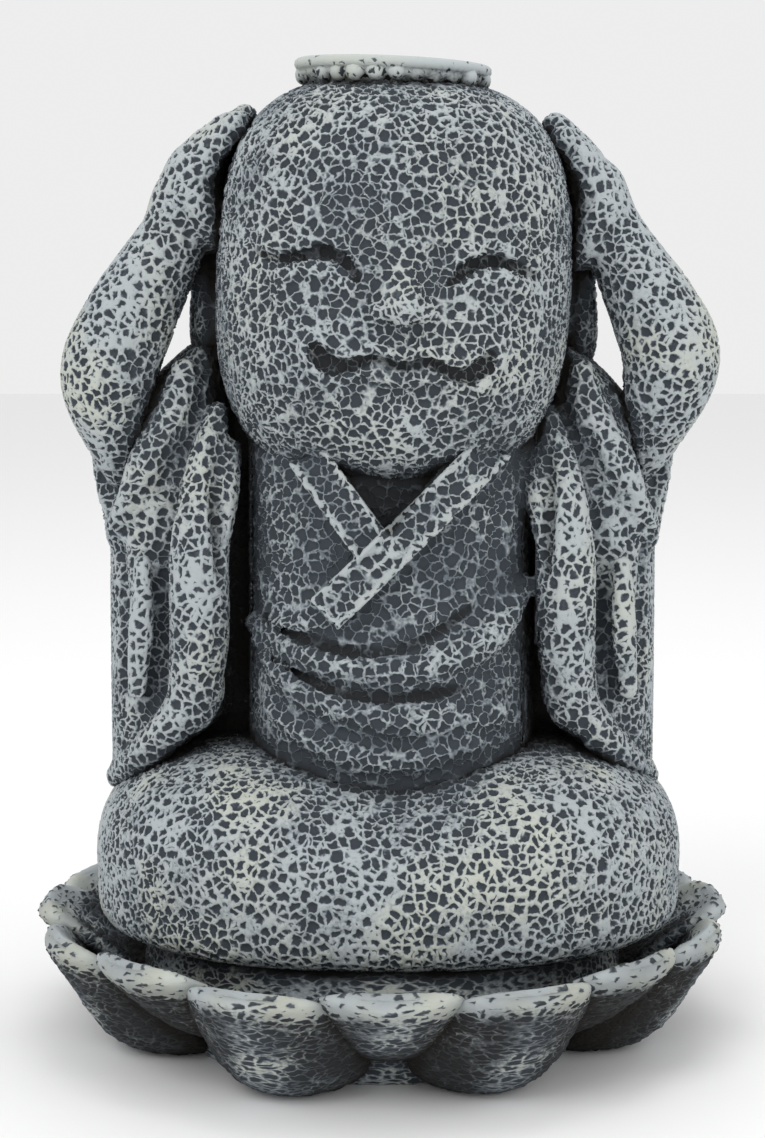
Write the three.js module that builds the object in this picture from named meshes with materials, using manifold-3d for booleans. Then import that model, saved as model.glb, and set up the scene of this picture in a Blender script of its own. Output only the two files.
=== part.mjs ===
// Seated child monk on a lotus base, one solid casting in pitted stone, 250 mm high.
// The figure holds both hands flat against a large head that carries a shallow round dish.
// Millimetres. X runs to the right as one faces the figure, Y to the back, Z up from the ground.

import * as THREE from 'three';
import { LoftGeometry } from 'three/addons/geometries/LoftGeometry.js';
import { mergeVertices } from 'three/addons/utils/BufferGeometryUtils.js';
import Module from 'manifold-3d';

// ---------------------------------------------------------------- driving dimensions

// Lotus base: a turned seat ringed by two staggered rows of spoon-shaped petals.
const LOTUS = {
  petalsPerRow: 8,
  turned: 1.5,
  footRadius: 56,
  seatRadius: 60,
  seatTop: 32,
  tipRadius: 92,
  rimHeight: 34,
  outerWidth: 41,
  innerWidth: 38,
};

// Crossed legs under the robe: one broad cushion with two knees and a shallow valley between.
const LAP = {
  centre: [1.5, -6, 43],
  halfWidth: 75.5,
  frontReach: 60,
  backReach: 50,
  rise: 34.5,
  drop: 16,
  kneeOffset: 0.58,
  kneeSwell: 0.09,
  valleyDip: 0.16,
};

// Upper body, from the lap to the neck.
const TORSO = {
  centreX: 2.2,
  bottom: 58,
  top: 170,
  halfWidth: 37,
  frontReach: 41,
  backReach: 28,
};

// Shoulders and the plain back of the robe.
const BACK = {
  centreX: 1,
  centreY: 15,
  halfWidth: 64,
  halfDepth: 25,
};

// Hanging sleeves, given for the figure's side at +X and mirrored for the other.
const SLEEVE = {
  centreX: 54.5,
  centreY: 4,
  halfWidth: 17,
  halfDepth: 25,
  hemOuter: 63,
  hemSlope: 0.65,
  topOuter: 159,
  topSlope: 0.9,
};

// Head: a baby's head, close to a rounded box, leaning a little to its +X side.
const HEAD = {
  centre: [2.9, -8, 196],
  halfWidth: 45,
  halfDepth: 43,
  rise: 49.5,
  drop: 54,
  lean: 2.5,
};

// Round dish on the crown, with a row of beads under its rim.
const DISH = {
  centre: [2.7, -8],
  radius: 25.3,
  recessRadius: 20,
  recessDepth: 5.5,
  rimThickness: 4.6,
  topHeight: 248.9,
  beads: 28,
  beadDepth: 1.7,
};

const BAND_WIDTH = 9.6;
const BAND_RISE = 2.4;

const STONE = new THREE.MeshStandardMaterial({
  name: 'cast_stone',
  color: 0x7d858c,
  roughness: 0.92,
  metalness: 0,
});

// ---------------------------------------------------------------- solids and joins

const wasm = await Module();
wasm.setup();

/** Turns a closed three.js geometry into a solid that can be joined and cut. */
function solid(geometry) {
  const bare = geometry.index ? geometry.toNonIndexed() : geometry;
  bare.deleteAttribute('normal');
  bare.deleteAttribute('uv');
  const welded = mergeVertices(bare, 1e-4);
  const corners = welded.index.array;
  const kept = [];
  for (let i = 0; i < corners.length; i += 3) {
    const [a, b, c] = [corners[i], corners[i + 1], corners[i + 2]];
    if (a !== b && b !== c && c !== a) {
      kept.push(a, b, c);
    }
  }
  return new wasm.Manifold(new wasm.Mesh({
    numProp: 3,
    vertProperties: new Float32Array(welded.attributes.position.array),
    triVerts: new Uint32Array(kept),
  }));
}

/** Joins a list of solids into one. */
function joined(solids) {
  return solids.reduce((whole, next) => whole.add(next));
}

/** Turns a finished solid back into a geometry. */
function geometryOf(whole) {
  const mesh = whole.getMesh();
  const geometry = new THREE.BufferGeometry();
  geometry.setAttribute('position', new THREE.Float32BufferAttribute(mesh.vertProperties, 3));
  geometry.setIndex(new THREE.Uint32BufferAttribute(mesh.triVerts, 1));
  geometry.computeVertexNormals();
  return geometry;
}

const degrees = THREE.MathUtils.degToRad;
const mix = THREE.MathUtils.lerp;
const bell = (distance, spread) => Math.exp(-((distance / spread) ** 2));

/** A cosine or sine pulled towards a square: exponent 2 is round, higher is boxier. */
function squared(value, exponent) {
  return Math.sign(value) * Math.abs(value) ** (2 / exponent);
}

/** Turns through one ring: count angles in radians. */
function turns(count) {
  return Array.from({ length: count }, (_, k) => (k / count) * 2 * Math.PI);
}

/** Skins a row of rings and closes both ends with a fan to the middle of the end ring. */
function loft(rings) {
  const middle = (ring) => {
    const centre = new THREE.Vector3();
    ring.forEach((point) => centre.addScaledVector(point, 1 / ring.length));
    return ring.map(() => centre.clone());
  };
  return new LoftGeometry([middle(rings[0]), ...rings, middle(rings[rings.length - 1])], { closed: true });
}

/** A sphere whose skin is moved to reach(direction) from its centre. */
function starForm(reach, around, rows) {
  const geometry = new THREE.SphereGeometry(1, around, rows).rotateX(Math.PI / 2);
  const spots = geometry.attributes.position;
  const spot = new THREE.Vector3();
  for (let i = 0; i < spots.count; i += 1) {
    spot.fromBufferAttribute(spots, i).normalize();
    spot.multiplyScalar(reach(spot));
    spots.setXYZ(i, spot.x, spot.y, spot.z);
  }
  return geometry;
}

/** An egg with its own half sizes, turned about Y by lean degrees. */
function egg(centre, halves, lean = 0, around = 8, rows = 6) {
  const geometry = new THREE.SphereGeometry(1, around, rows).rotateX(Math.PI / 2);
  return solid(geometry.scale(...halves).rotateY(degrees(lean)).translate(...centre));
}

/** A limb along a smooth line through stations [x, y, z, radius], with rounded ends. */
function limb(stations, sides = 6, rings = 6) {
  const line = new THREE.CatmullRomCurve3(stations.map(([x, y, z]) => new THREE.Vector3(x, y, z)));
  const frames = line.computeFrenetFrames(rings);
  const sections = [];
  for (let i = 0; i <= rings; i += 1) {
    const share = line.getUtoTmapping(i / rings) * (stations.length - 1);
    const before = Math.min(Math.floor(share), stations.length - 2);
    const radius = mix(stations[before][3], stations[before + 1][3], share - before);
    const place = line.getPointAt(i / rings);
    const ends = { 0: [[-0.7, 0.6], [0, 1]], [rings]: [[0, 1], [0.7, 0.6]] };
    for (const [along, size] of ends[i] ?? [[0, 1]]) {
      sections.push(turns(sides).map((turn) => place.clone()
        .addScaledVector(frames.tangents[i], along * radius)
        .addScaledVector(frames.normals[i], Math.cos(turn) * radius * size)
        .addScaledVector(frames.binormals[i], Math.sin(turn) * radius * size)));
    }
  }
  return solid(loft(sections));
}

// ---------------------------------------------------------------- lotus base

// Petal centre lines from the foot to the rim. Each station gives the radius as a share of foot to
// tip, the height as a share of the rim, the width as a share, the thickness and the side bend.
const OUTER_PETAL = [
  [-0.2, 0.09, 0.6, 6, 6],
  [0.2, 0.1, 0.8, 8, 10],
  [0.52, 0.25, 1, 9, 10],
  [0.76, 0.58, 1, 7.5, 7],
  [0.94, 0.86, 0.84, 6, 5],
  [1, 0.93, 0.5, 4.5, 3],
];
const INNER_PETAL = [
  [0, 0.3, 0.5, 6, 4],
  [0.35, 0.42, 0.8, 7, 6],
  [0.68, 0.66, 1, 7, 6],
  [0.93, 0.88, 0.84, 6, 4],
  [1, 0.94, 0.5, 4.5, 3],
];

/** One petal pointing to -Y. */
function petal(stations, width, rimHeight) {
  const reach = LOTUS.tipRadius - LOTUS.footRadius;
  const line = stations.map(([out, up]) => [LOTUS.footRadius + reach * out - 1.5, rimHeight * up]);
  const sections = stations.map(([, , wide, thick, bend], i) => {
    const [radius, height] = line[i];
    const [nextRadius, nextHeight] = line[Math.min(i + 1, line.length - 1)];
    const [lastRadius, lastHeight] = line[Math.max(i - 1, 0)];
    const slope = Math.atan2(nextHeight - lastHeight, nextRadius - lastRadius);
    return turns(8).map((turn) => {
      const side = squared(Math.cos(turn), 2.5) * wide;
      const lift = (Math.sin(turn) * thick) / 2 + side * side * 2;
      const out = radius - Math.sin(slope) * lift - side * side * bend;
      const up = Math.max(0, height + Math.cos(slope) * lift);
      return new THREE.Vector3((side * width) / 2, -out, up);
    });
  });
  return loft(sections);
}

function lotusBase() {
  const { petalsPerRow, turned, footRadius, seatRadius, seatTop } = LOTUS;
  const profile = [[0, 0], [footRadius, 0], [seatRadius, 7], [seatRadius + 3, 18], [seatRadius, 27],
    [seatRadius - 5, seatTop], [0, seatTop]];
  const seat = new THREE.LatheGeometry(profile.map(([r, z]) => new THREE.Vector2(r, z)), 16);
  const parts = [solid(seat.rotateX(Math.PI / 2))];
  const step = 360 / petalsPerRow;
  for (let i = 0; i < petalsPerRow; i += 1) {
    const inner = petal(INNER_PETAL, LOTUS.innerWidth, LOTUS.rimHeight);
    const outer = petal(OUTER_PETAL, LOTUS.outerWidth, LOTUS.rimHeight - 1);
    parts.push(solid(inner.rotateZ(degrees(i * step + turned))));
    parts.push(solid(outer.rotateZ(degrees((i + 0.5) * step + turned))));
  }
  return joined(parts);
}

// ---------------------------------------------------------------- lap and robe

function lap() {
  const { centre, halfWidth, frontReach, backReach, rise, drop, kneeOffset, kneeSwell, valleyDip } = LAP;
  const reach = (d) => {
    const deep = d.y < 0 ? frontReach : backReach;
    const high = d.z > 0 ? rise : drop;
    const boxy = d.z > 0 ? 3 : 5;
    const flat = Math.abs(d.x / halfWidth) ** 2.3 + Math.abs(d.y / deep) ** 2.3;
    const base = (flat ** (boxy / 2.3) + Math.abs(d.z / high) ** boxy) ** (-1 / boxy);
    const side = (d.x * base) / halfWidth;
    const front = Math.max(0, (-d.y * base) / frontReach);
    const above = Math.max(0, (d.z * base) / rise);
    const knees = kneeSwell * above * (bell(side - kneeOffset, 0.36) + bell(side + kneeOffset, 0.36));
    const valley = valleyDip * bell(side, 0.3) * front * above;
    return base * (1 + knees - valley);
  };
  return solid(starForm(reach, 26, 12).translate(...centre));
}

/** How far the front of the torso reaches towards -Y at a place. */
function torsoFront(x, z) {
  const belly = 4 * bell(z - 86, 26) - 4 * bell(z - 168, 24);
  const side = Math.min(1, Math.abs(x - TORSO.centreX) / TORSO.halfWidth);
  return (TORSO.frontReach + belly) * (1 - side ** 2.6) ** (1 / 2.6);
}

function torso() {
  const { centreX, bottom, top, halfWidth, backReach } = TORSO;
  const rings = 5;
  const sections = [];
  for (let i = 0; i <= rings; i += 1) {
    const z = mix(bottom, top, i / rings);
    const front = torsoFront(centreX, z);
    sections.push(turns(16).map((turn) => new THREE.Vector3(
      centreX + squared(Math.cos(turn), 2.6) * halfWidth,
      squared(Math.sin(turn), 2.6) * (Math.sin(turn) < 0 ? front : backReach),
      z,
    )));
  }
  return solid(loft(sections));
}

function robeBack() {
  const { centreX, centreY, halfWidth, halfDepth } = BACK;
  // height, share of the half width, share of the half depth
  const outline = [[48, 0.98, 1.1], [80, 0.97, 1.0], [115, 0.96, 0.96], [140, 0.93, 0.94],
    [156, 0.86, 0.84], [166, 0.7, 0.68], [172, 0.42, 0.45]];
  const sections = outline.map(([z, wide, deep]) => turns(12).map((turn) => new THREE.Vector3(
    centreX + squared(Math.cos(turn), 2.5) * halfWidth * wide,
    centreY + squared(Math.sin(turn), 2.5) * halfDepth * deep,
    z,
  )));
  return solid(loft(sections));
}

/** A flat collar band laid over the front of the torso between two places [x, z]. */
function collarBand(from, to, rise) {
  const steps = 3;
  const run = new THREE.Vector2(to[0] - from[0], to[1] - from[1]);
  const side = new THREE.Vector2(-run.y, run.x).normalize().multiplyScalar(BAND_WIDTH / 2);
  const corners = [[1, rise], [1, -4], [-1, -4], [-1, rise]];
  const sections = [];
  for (let i = 0; i <= steps; i += 1) {
    sections.push(corners.map(([across, out]) => {
      const x = from[0] + (run.x * i) / steps + side.x * across;
      const z = from[1] + (run.y * i) / steps + side.y * across;
      return new THREE.Vector3(x, -torsoFront(x, z) - out, z);
    }).reverse());
  }
  return solid(loft(sections));
}

/** The open neck of the robe, a wedge cut between the collar bands. */
function neckOpening() {
  const wedge = new THREE.Shape([[-19, 162], [22, 162], [2, 133]].map((xz) => new THREE.Vector2(...xz)));
  const cut = new THREE.ExtrudeGeometry(wedge, { depth: 14, bevelEnabled: false });
  return solid(cut.rotateX(Math.PI / 2).translate(0, -TORSO.frontReach + 7, 0));
}

/** Soft folds across the belly, each through stations [x, z, radius] on the torso. */
function waistFolds() {
  const folds = [
    [[-10, 113.5, 2], [-22, 112, 2.6], [-33, 108.5, 2.2]],
    [[-32, 109, 2.2], [-18, 103.5, 3.2], [-3, 100.5, 3.8], [13, 102, 4.8], [27, 109.5, 5], [36, 119, 3]],
    [[-31, 105, 2], [-22, 96, 3.4], [-8, 90.5, 4.2], [8, 88, 4.4], [28, 88.5, 3]],
    [[-20, 83, 2.4], [-8, 79.5, 3.4], [8, 79, 3.4], [22, 82, 2.4]],
  ];
  return folds.map((fold) => limb(
    fold.map(([x, z, radius]) => [x, -torsoFront(x, z) + radius * 0.3, z, radius]),
    5,
    fold.length - 1,
  ));
}

/** One hanging sleeve, domed over the upper arm; side is 1 for +X and -1 for -X. */
function sleeve(side) {
  const { centreX, centreY, halfWidth, halfDepth, hemOuter, hemSlope, topOuter, topSlope } = SLEEVE;
  // share of the way up, share of the full size
  const outline = [[0, 0.98], [0.3, 0.98], [0.6, 0.97], [0.8, 0.95], [0.92, 0.84], [0.98, 0.62], [1, 0.36]];
  const sections = outline.map(([share, size]) => {
    const ring = turns(14).map((turn) => {
      const x = centreX + squared(Math.cos(turn), 2.5) * halfWidth * size;
      const y = centreY + squared(Math.sin(turn), 2.2) * halfDepth * size;
      const inward = centreX + halfWidth - x;
      const hem = hemOuter + inward * hemSlope;
      const top = topOuter + inward * topSlope;
      return new THREE.Vector3(x * side, y, mix(hem, top, share));
    });
    return side > 0 ? ring : ring.reverse();
  });
  return solid(loft(sections));
}

/** The raised folds of one sleeve: the mouth's lip, two long folds and the turned hem. */
function sleeveFolds(side) {
  const folds = [
    [[50, -16, 172, 3.4], [53, -19, 160, 4.6], [59.5, -19, 149, 5], [65.5, -15, 138, 4.4], [68, -9, 130, 3]],
    [[73, -6, 158, 2.4], [72, -4, 146, 3.2], [69, -4, 131, 3]],
    [[41, -18, 162, 3], [44, -23, 148, 5.6], [45.8, -26, 128, 7.6], [46, -25.5, 106, 7.8], [48, -24, 88, 6.4]],
    [[37.5, -20, 153, 2.4], [39.5, -25, 140, 3.8], [43, -27, 122, 2.4]],
    [[46, -23, 92, 6], [54, -24, 82, 5.4], [62, -18, 73, 4.8], [68.5, -8, 67, 3.6]],
  ];
  return folds.map((fold) => limb(fold.map(([x, y, z, r]) => [x * side, y, z, r]), 5, fold.length - 1));
}

/** The dark hollow of a sleeve's mouth under the elbow. */
function sleeveMouth(side) {
  return egg([71 * side, -15, 146], [6, 8, 14], -20 * side);
}

// ---------------------------------------------------------------- head and face

/** How far the head's skin lies from its centre in a direction. */
function headReach(d) {
  const { halfWidth, halfDepth, rise, drop } = HEAD;
  const high = d.z > 0 ? rise : drop;
  const flat = Math.abs(d.x / halfWidth) ** 2.3 + Math.abs(d.y / halfDepth) ** 2.3;
  const base = (flat ** (2.9 / 2.3) + Math.abs(d.z / high) ** 2.9) ** (-1 / 2.9);
  const front = Math.max(0, -d.y);
  const cheeks = 0.05 * bell(d.z + 0.4, 0.3) * (bell(d.x - 0.48, 0.28) + bell(d.x + 0.48, 0.28));
  const sockets = 0.045 * bell(d.z - 0.1, 0.15) * (bell(d.x - 0.4, 0.28) + bell(d.x + 0.4, 0.28));
  const chin = 0.05 * bell(d.x, 0.2) * bell(d.z + 0.74, 0.13) - 0.035 * bell(d.x, 0.28) * bell(d.z + 0.55, 0.1);
  return base * (1 + front * (cheeks - sockets + chin));
}

/** The spot on the face at x and z from the head's centre, moved out along the view line. */
function onFace(x, z, out = 0) {
  let y = -HEAD.halfDepth;
  for (let i = 0; i < 8; i += 1) {
    const direction = new THREE.Vector3(x, y, z).normalize();
    y = direction.y * headReach(direction);
  }
  return [x, y - out, z];
}

/** A limb laid on the face through stations [x, z, radius], sunk or raised by lift radii. */
function faceLine(stations, lift, sides = 5) {
  return limb(
    stations.map(([x, z, radius]) => [...onFace(x, z, radius * lift), radius]),
    sides,
    stations.length - 1,
  );
}

/** The closed, smiling eyes, as incised arcs. */
function eyeLines() {
  return [
    faceLine([[-32, 4, 0.8], [-24, 3.2, 1.3], [-17, 5.6, 1.4], [-9.8, 0.2, 1]], 0.1),
    faceLine([[14.6, 0.2, 1], [21.5, 4.6, 1.4], [27, 4.2, 1.3], [33.6, 1.4, 0.8]], 0.1),
  ];
}

function eyelids() {
  return [
    faceLine([[-23, -0.5, 2.4], [-17, 1, 3.2], [-12, -1.5, 2.2]], -0.45),
    faceLine([[16, -2, 2.2], [22, 0.5, 3.2], [29, -0.5, 2.4]], -0.45),
  ];
}

function nose() {
  const [x, y, z] = onFace(2.2, -7, 0);
  return [
    limb([[x - 0.6, y + 3.4, z + 14, 2.8], [x - 0.3, y + 1.5, z + 6, 3.8], [x, y - 1, z, 5.2]], 6, 3),
    egg([x - 4.6, y + 0.4, z - 0.6], [4.2, 4, 3.6], 0, 6, 4),
    egg([x + 4.6, y + 0.4, z - 0.6], [4.2, 4, 3.6], 0, 6, 4),
  ];
}

/** The smile: a wavy groove that ends in two deep corners. */
function mouthGroove() {
  return faceLine([[-16, -19.5, 2.2], [-12, -22.4, 2.4], [-5, -19.4, 1.2], [2.4, -21, 1.2], [10, -19.6, 1.2],
    [18.5, -23.2, 2.4], [22.4, -20, 2.2]], -0.1);
}

function lips() {
  return [
    faceLine([[-10, -18.6, 1.6], [-4, -16.4, 2.3], [2.6, -18, 2.1], [9, -16.6, 2.3], [16.5, -19.4, 1.6]], -0.3),
    faceLine([[-4, -23.4, 1.4], [2.6, -24.6, 2.5], [10, -23.6, 1.4]], -0.3),
  ];
}

function head() {
  const brow = egg(onFace(1.4, 29.5), [2.5, 1.8, 2.7], 0, 6, 4);
  const face = joined([solid(starForm(headReach, 26, 15)), ...eyelids(), ...nose(), ...lips(), brow]);
  const carved = face.subtract(joined([...eyeLines(), mouthGroove()]));
  return carved.rotate([0, HEAD.lean, 0]).translate(HEAD.centre);
}

/** A long-lobed ear behind the hand. */
function ear(side) {
  return egg([HEAD.centre[0] + side * 47.5, 3, 186], [6.5, 9, 21], 0, 8, 5);
}

/** Leans a part of the dish with the head and sets it on the crown. */
function onCrown(part) {
  return part.rotate([0, HEAD.lean, 0]).translate([...DISH.centre, DISH.topHeight]);
}

/** The round dish: a turned disc, its lower edge a row of beads. */
function dish() {
  const { radius, recessRadius, rimThickness, beads, beadDepth } = DISH;
  const profile = [[0, -12], [radius - 7, -12], [radius - 2.5, -rimThickness], [radius, -2.6],
    [radius - 1, 0], [0, 0]];
  const disc = new THREE.LatheGeometry(profile.map(([r, z]) => new THREE.Vector2(r, z)), beads * 2);
  disc.rotateX(Math.PI / 2);
  const spots = disc.attributes.position;
  for (let i = 0; i < spots.count; i += 1) {
    const [x, y, z] = [spots.getX(i), spots.getY(i), spots.getZ(i)];
    const between = Math.round((Math.atan2(y, x) / Math.PI) * beads) % 2 !== 0;
    if (between && z < -2 && Math.hypot(x, y) > recessRadius) {
      const size = 1 - beadDepth / Math.hypot(x, y);
      spots.setXYZ(i, x * size, y * size, z + beadDepth * 0.6);
    }
  }
  return onCrown(solid(disc));
}

/** The dish's hollow, to be cut from the disc and the crown under it. */
function dishHollow() {
  const { recessRadius, recessDepth } = DISH;
  const profile = [[0, -recessDepth], [recessRadius - 1, -recessDepth], [recessRadius, 0], [recessRadius, 3], [0, 3]];
  const hollow = new THREE.LatheGeometry(profile.map(([r, z]) => new THREE.Vector2(r, z)), 28);
  return onCrown(solid(hollow.rotateX(Math.PI / 2)));
}

// ---------------------------------------------------------------- arms and hands

// Stations [x, y, z, radius] from inside the sleeve's mouth, round the elbow, to the fingertips.
const ARMS = {
  '-1': [[-60, 2, 140, 8], [-66.8, -9, 156, 9.4], [-69, -13, 171, 12.6], [-64, -13, 184.5, 12],
    [-58.5, -11, 195, 10.6], [-52.5, -10, 206, 9], [-50, -10, 216, 7.8], [-45, -10, 226, 5.6],
    [-39.5, -9, 232.5, 3.8]],
  1: [[60, 2, 143, 8], [69, -9, 160, 9.6], [72.8, -13, 175, 12.8], [68.6, -13, 187, 11.6],
    [63.8, -11, 196, 10], [58.3, -10, 206, 8.4], [54, -10, 216, 7.4], [49, -10, 225.5, 5.6],
    [43.5, -9, 233, 3.8]],
};

/** A place over the side of the head, by angles forward and up in degrees. */
function besideHead(side, forward, up, out) {
  const [ahead, above] = [degrees(forward), degrees(up)];
  const direction = new THREE.Vector3(
    side * Math.cos(ahead) * Math.cos(above),
    -Math.sin(ahead) * Math.cos(above),
    Math.sin(above),
  );
  direction.multiplyScalar(headReach(direction) + out);
  direction.applyAxisAngle(new THREE.Vector3(0, 1, 0), degrees(HEAD.lean));
  return direction.add(new THREE.Vector3(...HEAD.centre)).toArray();
}

/** One arm with the palm and fingers laid along the head. */
function arm(side) {
  const fingers = [[8, 41, 4], [-1, 44, 4.2], [-10, 43, 4.2], [-19, 38, 3.8]].map(([forward, up, radius]) => limb([
    [...besideHead(side, forward * 0.9, 20, 8.5), radius + 0.8],
    [...besideHead(side, forward * 1.1, 33, 5), radius],
    [...besideHead(side, forward * 1.3, up, 2.6), radius - 0.8],
  ], 5, 2));
  const thumb = limb([
    [...besideHead(side, -14, 6, 7), 4.8],
    [...besideHead(side, -27, 10, 4), 4],
    [...besideHead(side, -34, 18, 2), 3.2],
  ], 5, 2);
  const palm = egg(besideHead(side, 0, 18, 5), [6.5, 14, 14], 22 * side, 8, 6);
  return joined([limb(ARMS[side], 7, 7), palm, thumb, ...fingers]);
}

// ---------------------------------------------------------------- the casting

let robe = joined([torso(), robeBack(), sleeve(1), sleeve(-1)]).subtract(neckOpening());
robe = joined([robe, ...sleeveFolds(1), ...sleeveFolds(-1)]);
robe = robe.subtract(joined([sleeveMouth(1), sleeveMouth(-1)]));
robe = joined([
  robe,
  ...waistFolds(),
  collarBand([-19, 153], [0, 127.5], BAND_RISE),
  collarBand([28, 155], [-13.8, 114.7], BAND_RISE + 1),
]);

const whole = joined([lotusBase(), lap(), robe, head(), ear(1), ear(-1), dish(), arm(1), arm(-1)]);
const casting = whole.subtract(dishHollow());

const statue = new THREE.Mesh(geometryOf(casting), STONE);
statue.name = 'jizo_statue';

const object = new THREE.Group();
object.add(statue);

export default object;
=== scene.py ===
"""Dresses the seated child monk: carved forms, pitted stone skin, studio floor and light.

The forms are modelled as one soft mass on grids of signed distances, in millimetres, and each
sub-assembly is skinned from its own grid. Petals, beads and the pitted relief are Geometry Nodes.
"""
import logging
import math
from collections.abc import Callable, Iterable, Sequence
from dataclasses import dataclass, field
from enum import Enum

import bpy
import numpy as np
from mathutils import Matrix, Vector


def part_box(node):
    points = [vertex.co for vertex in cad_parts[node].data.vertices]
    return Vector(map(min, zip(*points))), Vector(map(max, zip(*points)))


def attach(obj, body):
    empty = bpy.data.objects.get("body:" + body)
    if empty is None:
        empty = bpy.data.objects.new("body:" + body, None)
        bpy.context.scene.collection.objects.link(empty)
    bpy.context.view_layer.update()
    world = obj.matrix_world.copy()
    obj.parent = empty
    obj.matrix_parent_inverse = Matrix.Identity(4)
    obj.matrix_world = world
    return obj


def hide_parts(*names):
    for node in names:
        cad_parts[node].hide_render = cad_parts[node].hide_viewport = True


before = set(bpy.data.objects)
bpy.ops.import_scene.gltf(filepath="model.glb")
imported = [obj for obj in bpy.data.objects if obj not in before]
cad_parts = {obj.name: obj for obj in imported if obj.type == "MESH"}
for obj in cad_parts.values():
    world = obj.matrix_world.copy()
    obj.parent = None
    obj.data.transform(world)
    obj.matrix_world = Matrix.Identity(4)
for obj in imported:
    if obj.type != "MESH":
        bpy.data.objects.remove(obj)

LOG = logging.getLogger("jizo")
MM = 0.001
FAR = 1000.0
NODE = "jizo_statue"
BODY = "root"
SKIN = "cast_skin"
EXPOSED = "exposed"
SUNKEN = "sunken"

Array = np.ndarray
Point = tuple[float, float, float]
Station = tuple[float, float, float, float]
Spot = tuple[float, float, float]


class Side(Enum):
    """The figure's two sides, by the sign of X."""

    LEFT = -1
    RIGHT = 1


# ---------------------------------------------------------------- small helpers


def bell(distance: Array | float, spread: float) -> Array | float:
    """A smooth bump: 1 at no distance, falling away over the spread."""
    return np.exp(-((distance / spread) ** 2))


def track(keys: Sequence[float], values: Sequence[float], at: Array) -> Array:
    """A smooth line through values at rising keys.

    Args:
        keys: rising positions of the known values.
        values: the known values.
        at: where the line is wanted.

    Returns:
        The values there, held level past both ends.
    """
    keys = np.asarray(keys, float)
    values = np.asarray(values, float)
    slopes = np.gradient(values, keys)
    at = np.clip(at, keys[0], keys[-1])
    left = np.clip(np.searchsorted(keys, at, side="right") - 1, 0, len(keys) - 2)
    span = keys[left + 1] - keys[left]
    t = (at - keys[left]) / span
    a = (1 + 2 * t) * (1 - t) ** 2 * values[left] + t * (1 - t) ** 2 * span * slopes[left]
    return a + t * t * (3 - 2 * t) * values[left + 1] + t * t * (t - 1) * span * slopes[left + 1]


def soft_min(a: Array, b: Array, blend: float) -> Array:
    """The lower of two distances, rounded over blend mm where they meet."""
    if blend <= 0:
        return np.minimum(a, b)
    near = np.maximum(blend - np.abs(a - b), 0) / blend
    return np.minimum(a, b) - near * near * blend / 4


def soft_max(a: Array, b: Array, blend: float) -> Array:
    """The higher of two distances, rounded over blend mm where they meet."""
    return -soft_min(-a, -b, blend)


def leaned(x: Array, z: Array, degrees: float) -> tuple[Array, Array]:
    """Undoes a turn about Y.

    Args:
        x: X from the turn's centre.
        z: Z from the turn's centre.
        degrees: the turn.

    Returns:
        X and Z in the unturned form.
    """
    c, s = math.cos(math.radians(degrees)), math.sin(math.radians(degrees))
    return c * x - s * z, s * x + c * z


# ---------------------------------------------------------------- solid forms


@dataclass
class Egg:
    """An egg with its own half sizes, turned about Y."""

    centre: Point
    halves: Point
    lean: float = 0.0

    def box(self) -> tuple[Array, Array]:
        """Lowest and highest corner."""
        reach = np.array(self.halves) if self.lean == 0 else np.full(3, max(self.halves))
        return np.array(self.centre) - reach, np.array(self.centre) + reach

    def parts(self) -> list["Egg"]:
        """The simple forms it is made of."""
        return [self]

    def distance(self, x: Array, y: Array, z: Array) -> Array:
        """Signed distance to the skin, negative inside."""
        u, w = leaned(x - self.centre[0], z - self.centre[2], self.lean)
        v = y - self.centre[1]
        a, b, c = self.halves
        near = np.sqrt((u / a) ** 2 + (v / b) ** 2 + (w / c) ** 2)
        steep = np.sqrt((u / a**2) ** 2 + (v / b**2) ** 2 + (w / c**2) ** 2)
        return near * (near - 1) / np.maximum(steep, 1e-6)


@dataclass
class Cone:
    """A round-ended cone between two places."""

    start: Array
    end: Array
    radii: tuple[float, float]

    def box(self) -> tuple[Array, Array]:
        """Lowest and highest corner."""
        reach = max(self.radii)
        return np.minimum(self.start, self.end) - reach, np.maximum(self.start, self.end) + reach

    def distance(self, x: Array, y: Array, z: Array) -> Array:
        """Signed distance to the skin, negative inside."""
        run = self.end - self.start
        dx, dy, dz = x - self.start[0], y - self.start[1], z - self.start[2]
        t = (dx * run[0] + dy * run[1] + dz * run[2]) / max(float(run @ run), 1e-6)
        t = np.clip(t, 0, 1)
        away = np.sqrt((dx - run[0] * t) ** 2 + (dy - run[1] * t) ** 2 + (dz - run[2] * t) ** 2)
        return away - (self.radii[0] + (self.radii[1] - self.radii[0]) * t)


@dataclass
class Limb:
    """A round limb along a smooth line through stations [x, y, z, radius]."""

    stations: Sequence[Station]
    steps: int = 6

    def line(self) -> Array:
        """Points and radii along the smooth line."""
        known = np.array(self.stations, float)
        keys = np.arange(len(known), dtype=float)
        at = np.linspace(0, len(known) - 1, self.steps * (len(known) - 1) + 1)
        return np.stack([track(keys, known[:, i], at) for i in range(4)], axis=1)

    def parts(self) -> list[Cone]:
        """The simple forms it is made of."""
        line = self.line()
        return [Cone(a[:3], b[:3], (a[3], b[3])) for a, b in zip(line[:-1], line[1:])]

    def box(self) -> tuple[Array, Array]:
        """Lowest and highest corner."""
        line = self.line()
        return (line[:, :3] - line[:, 3:]).min(0), (line[:, :3] + line[:, 3:]).max(0)


@dataclass
class Mass:
    """A form given by its own rule inside a stated box."""

    low: Point
    high: Point
    rule: Callable[[Array, Array, Array], Array]

    def box(self) -> tuple[Array, Array]:
        """Lowest and highest corner."""
        return np.array(self.low, float), np.array(self.high, float)

    def parts(self) -> list["Mass"]:
        """The simple forms it is made of."""
        return [self]

    def distance(self, x: Array, y: Array, z: Array) -> Array:
        """Signed distance to the skin, negative inside."""
        return self.rule(x, y, z)


Form = Egg | Limb | Mass


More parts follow.
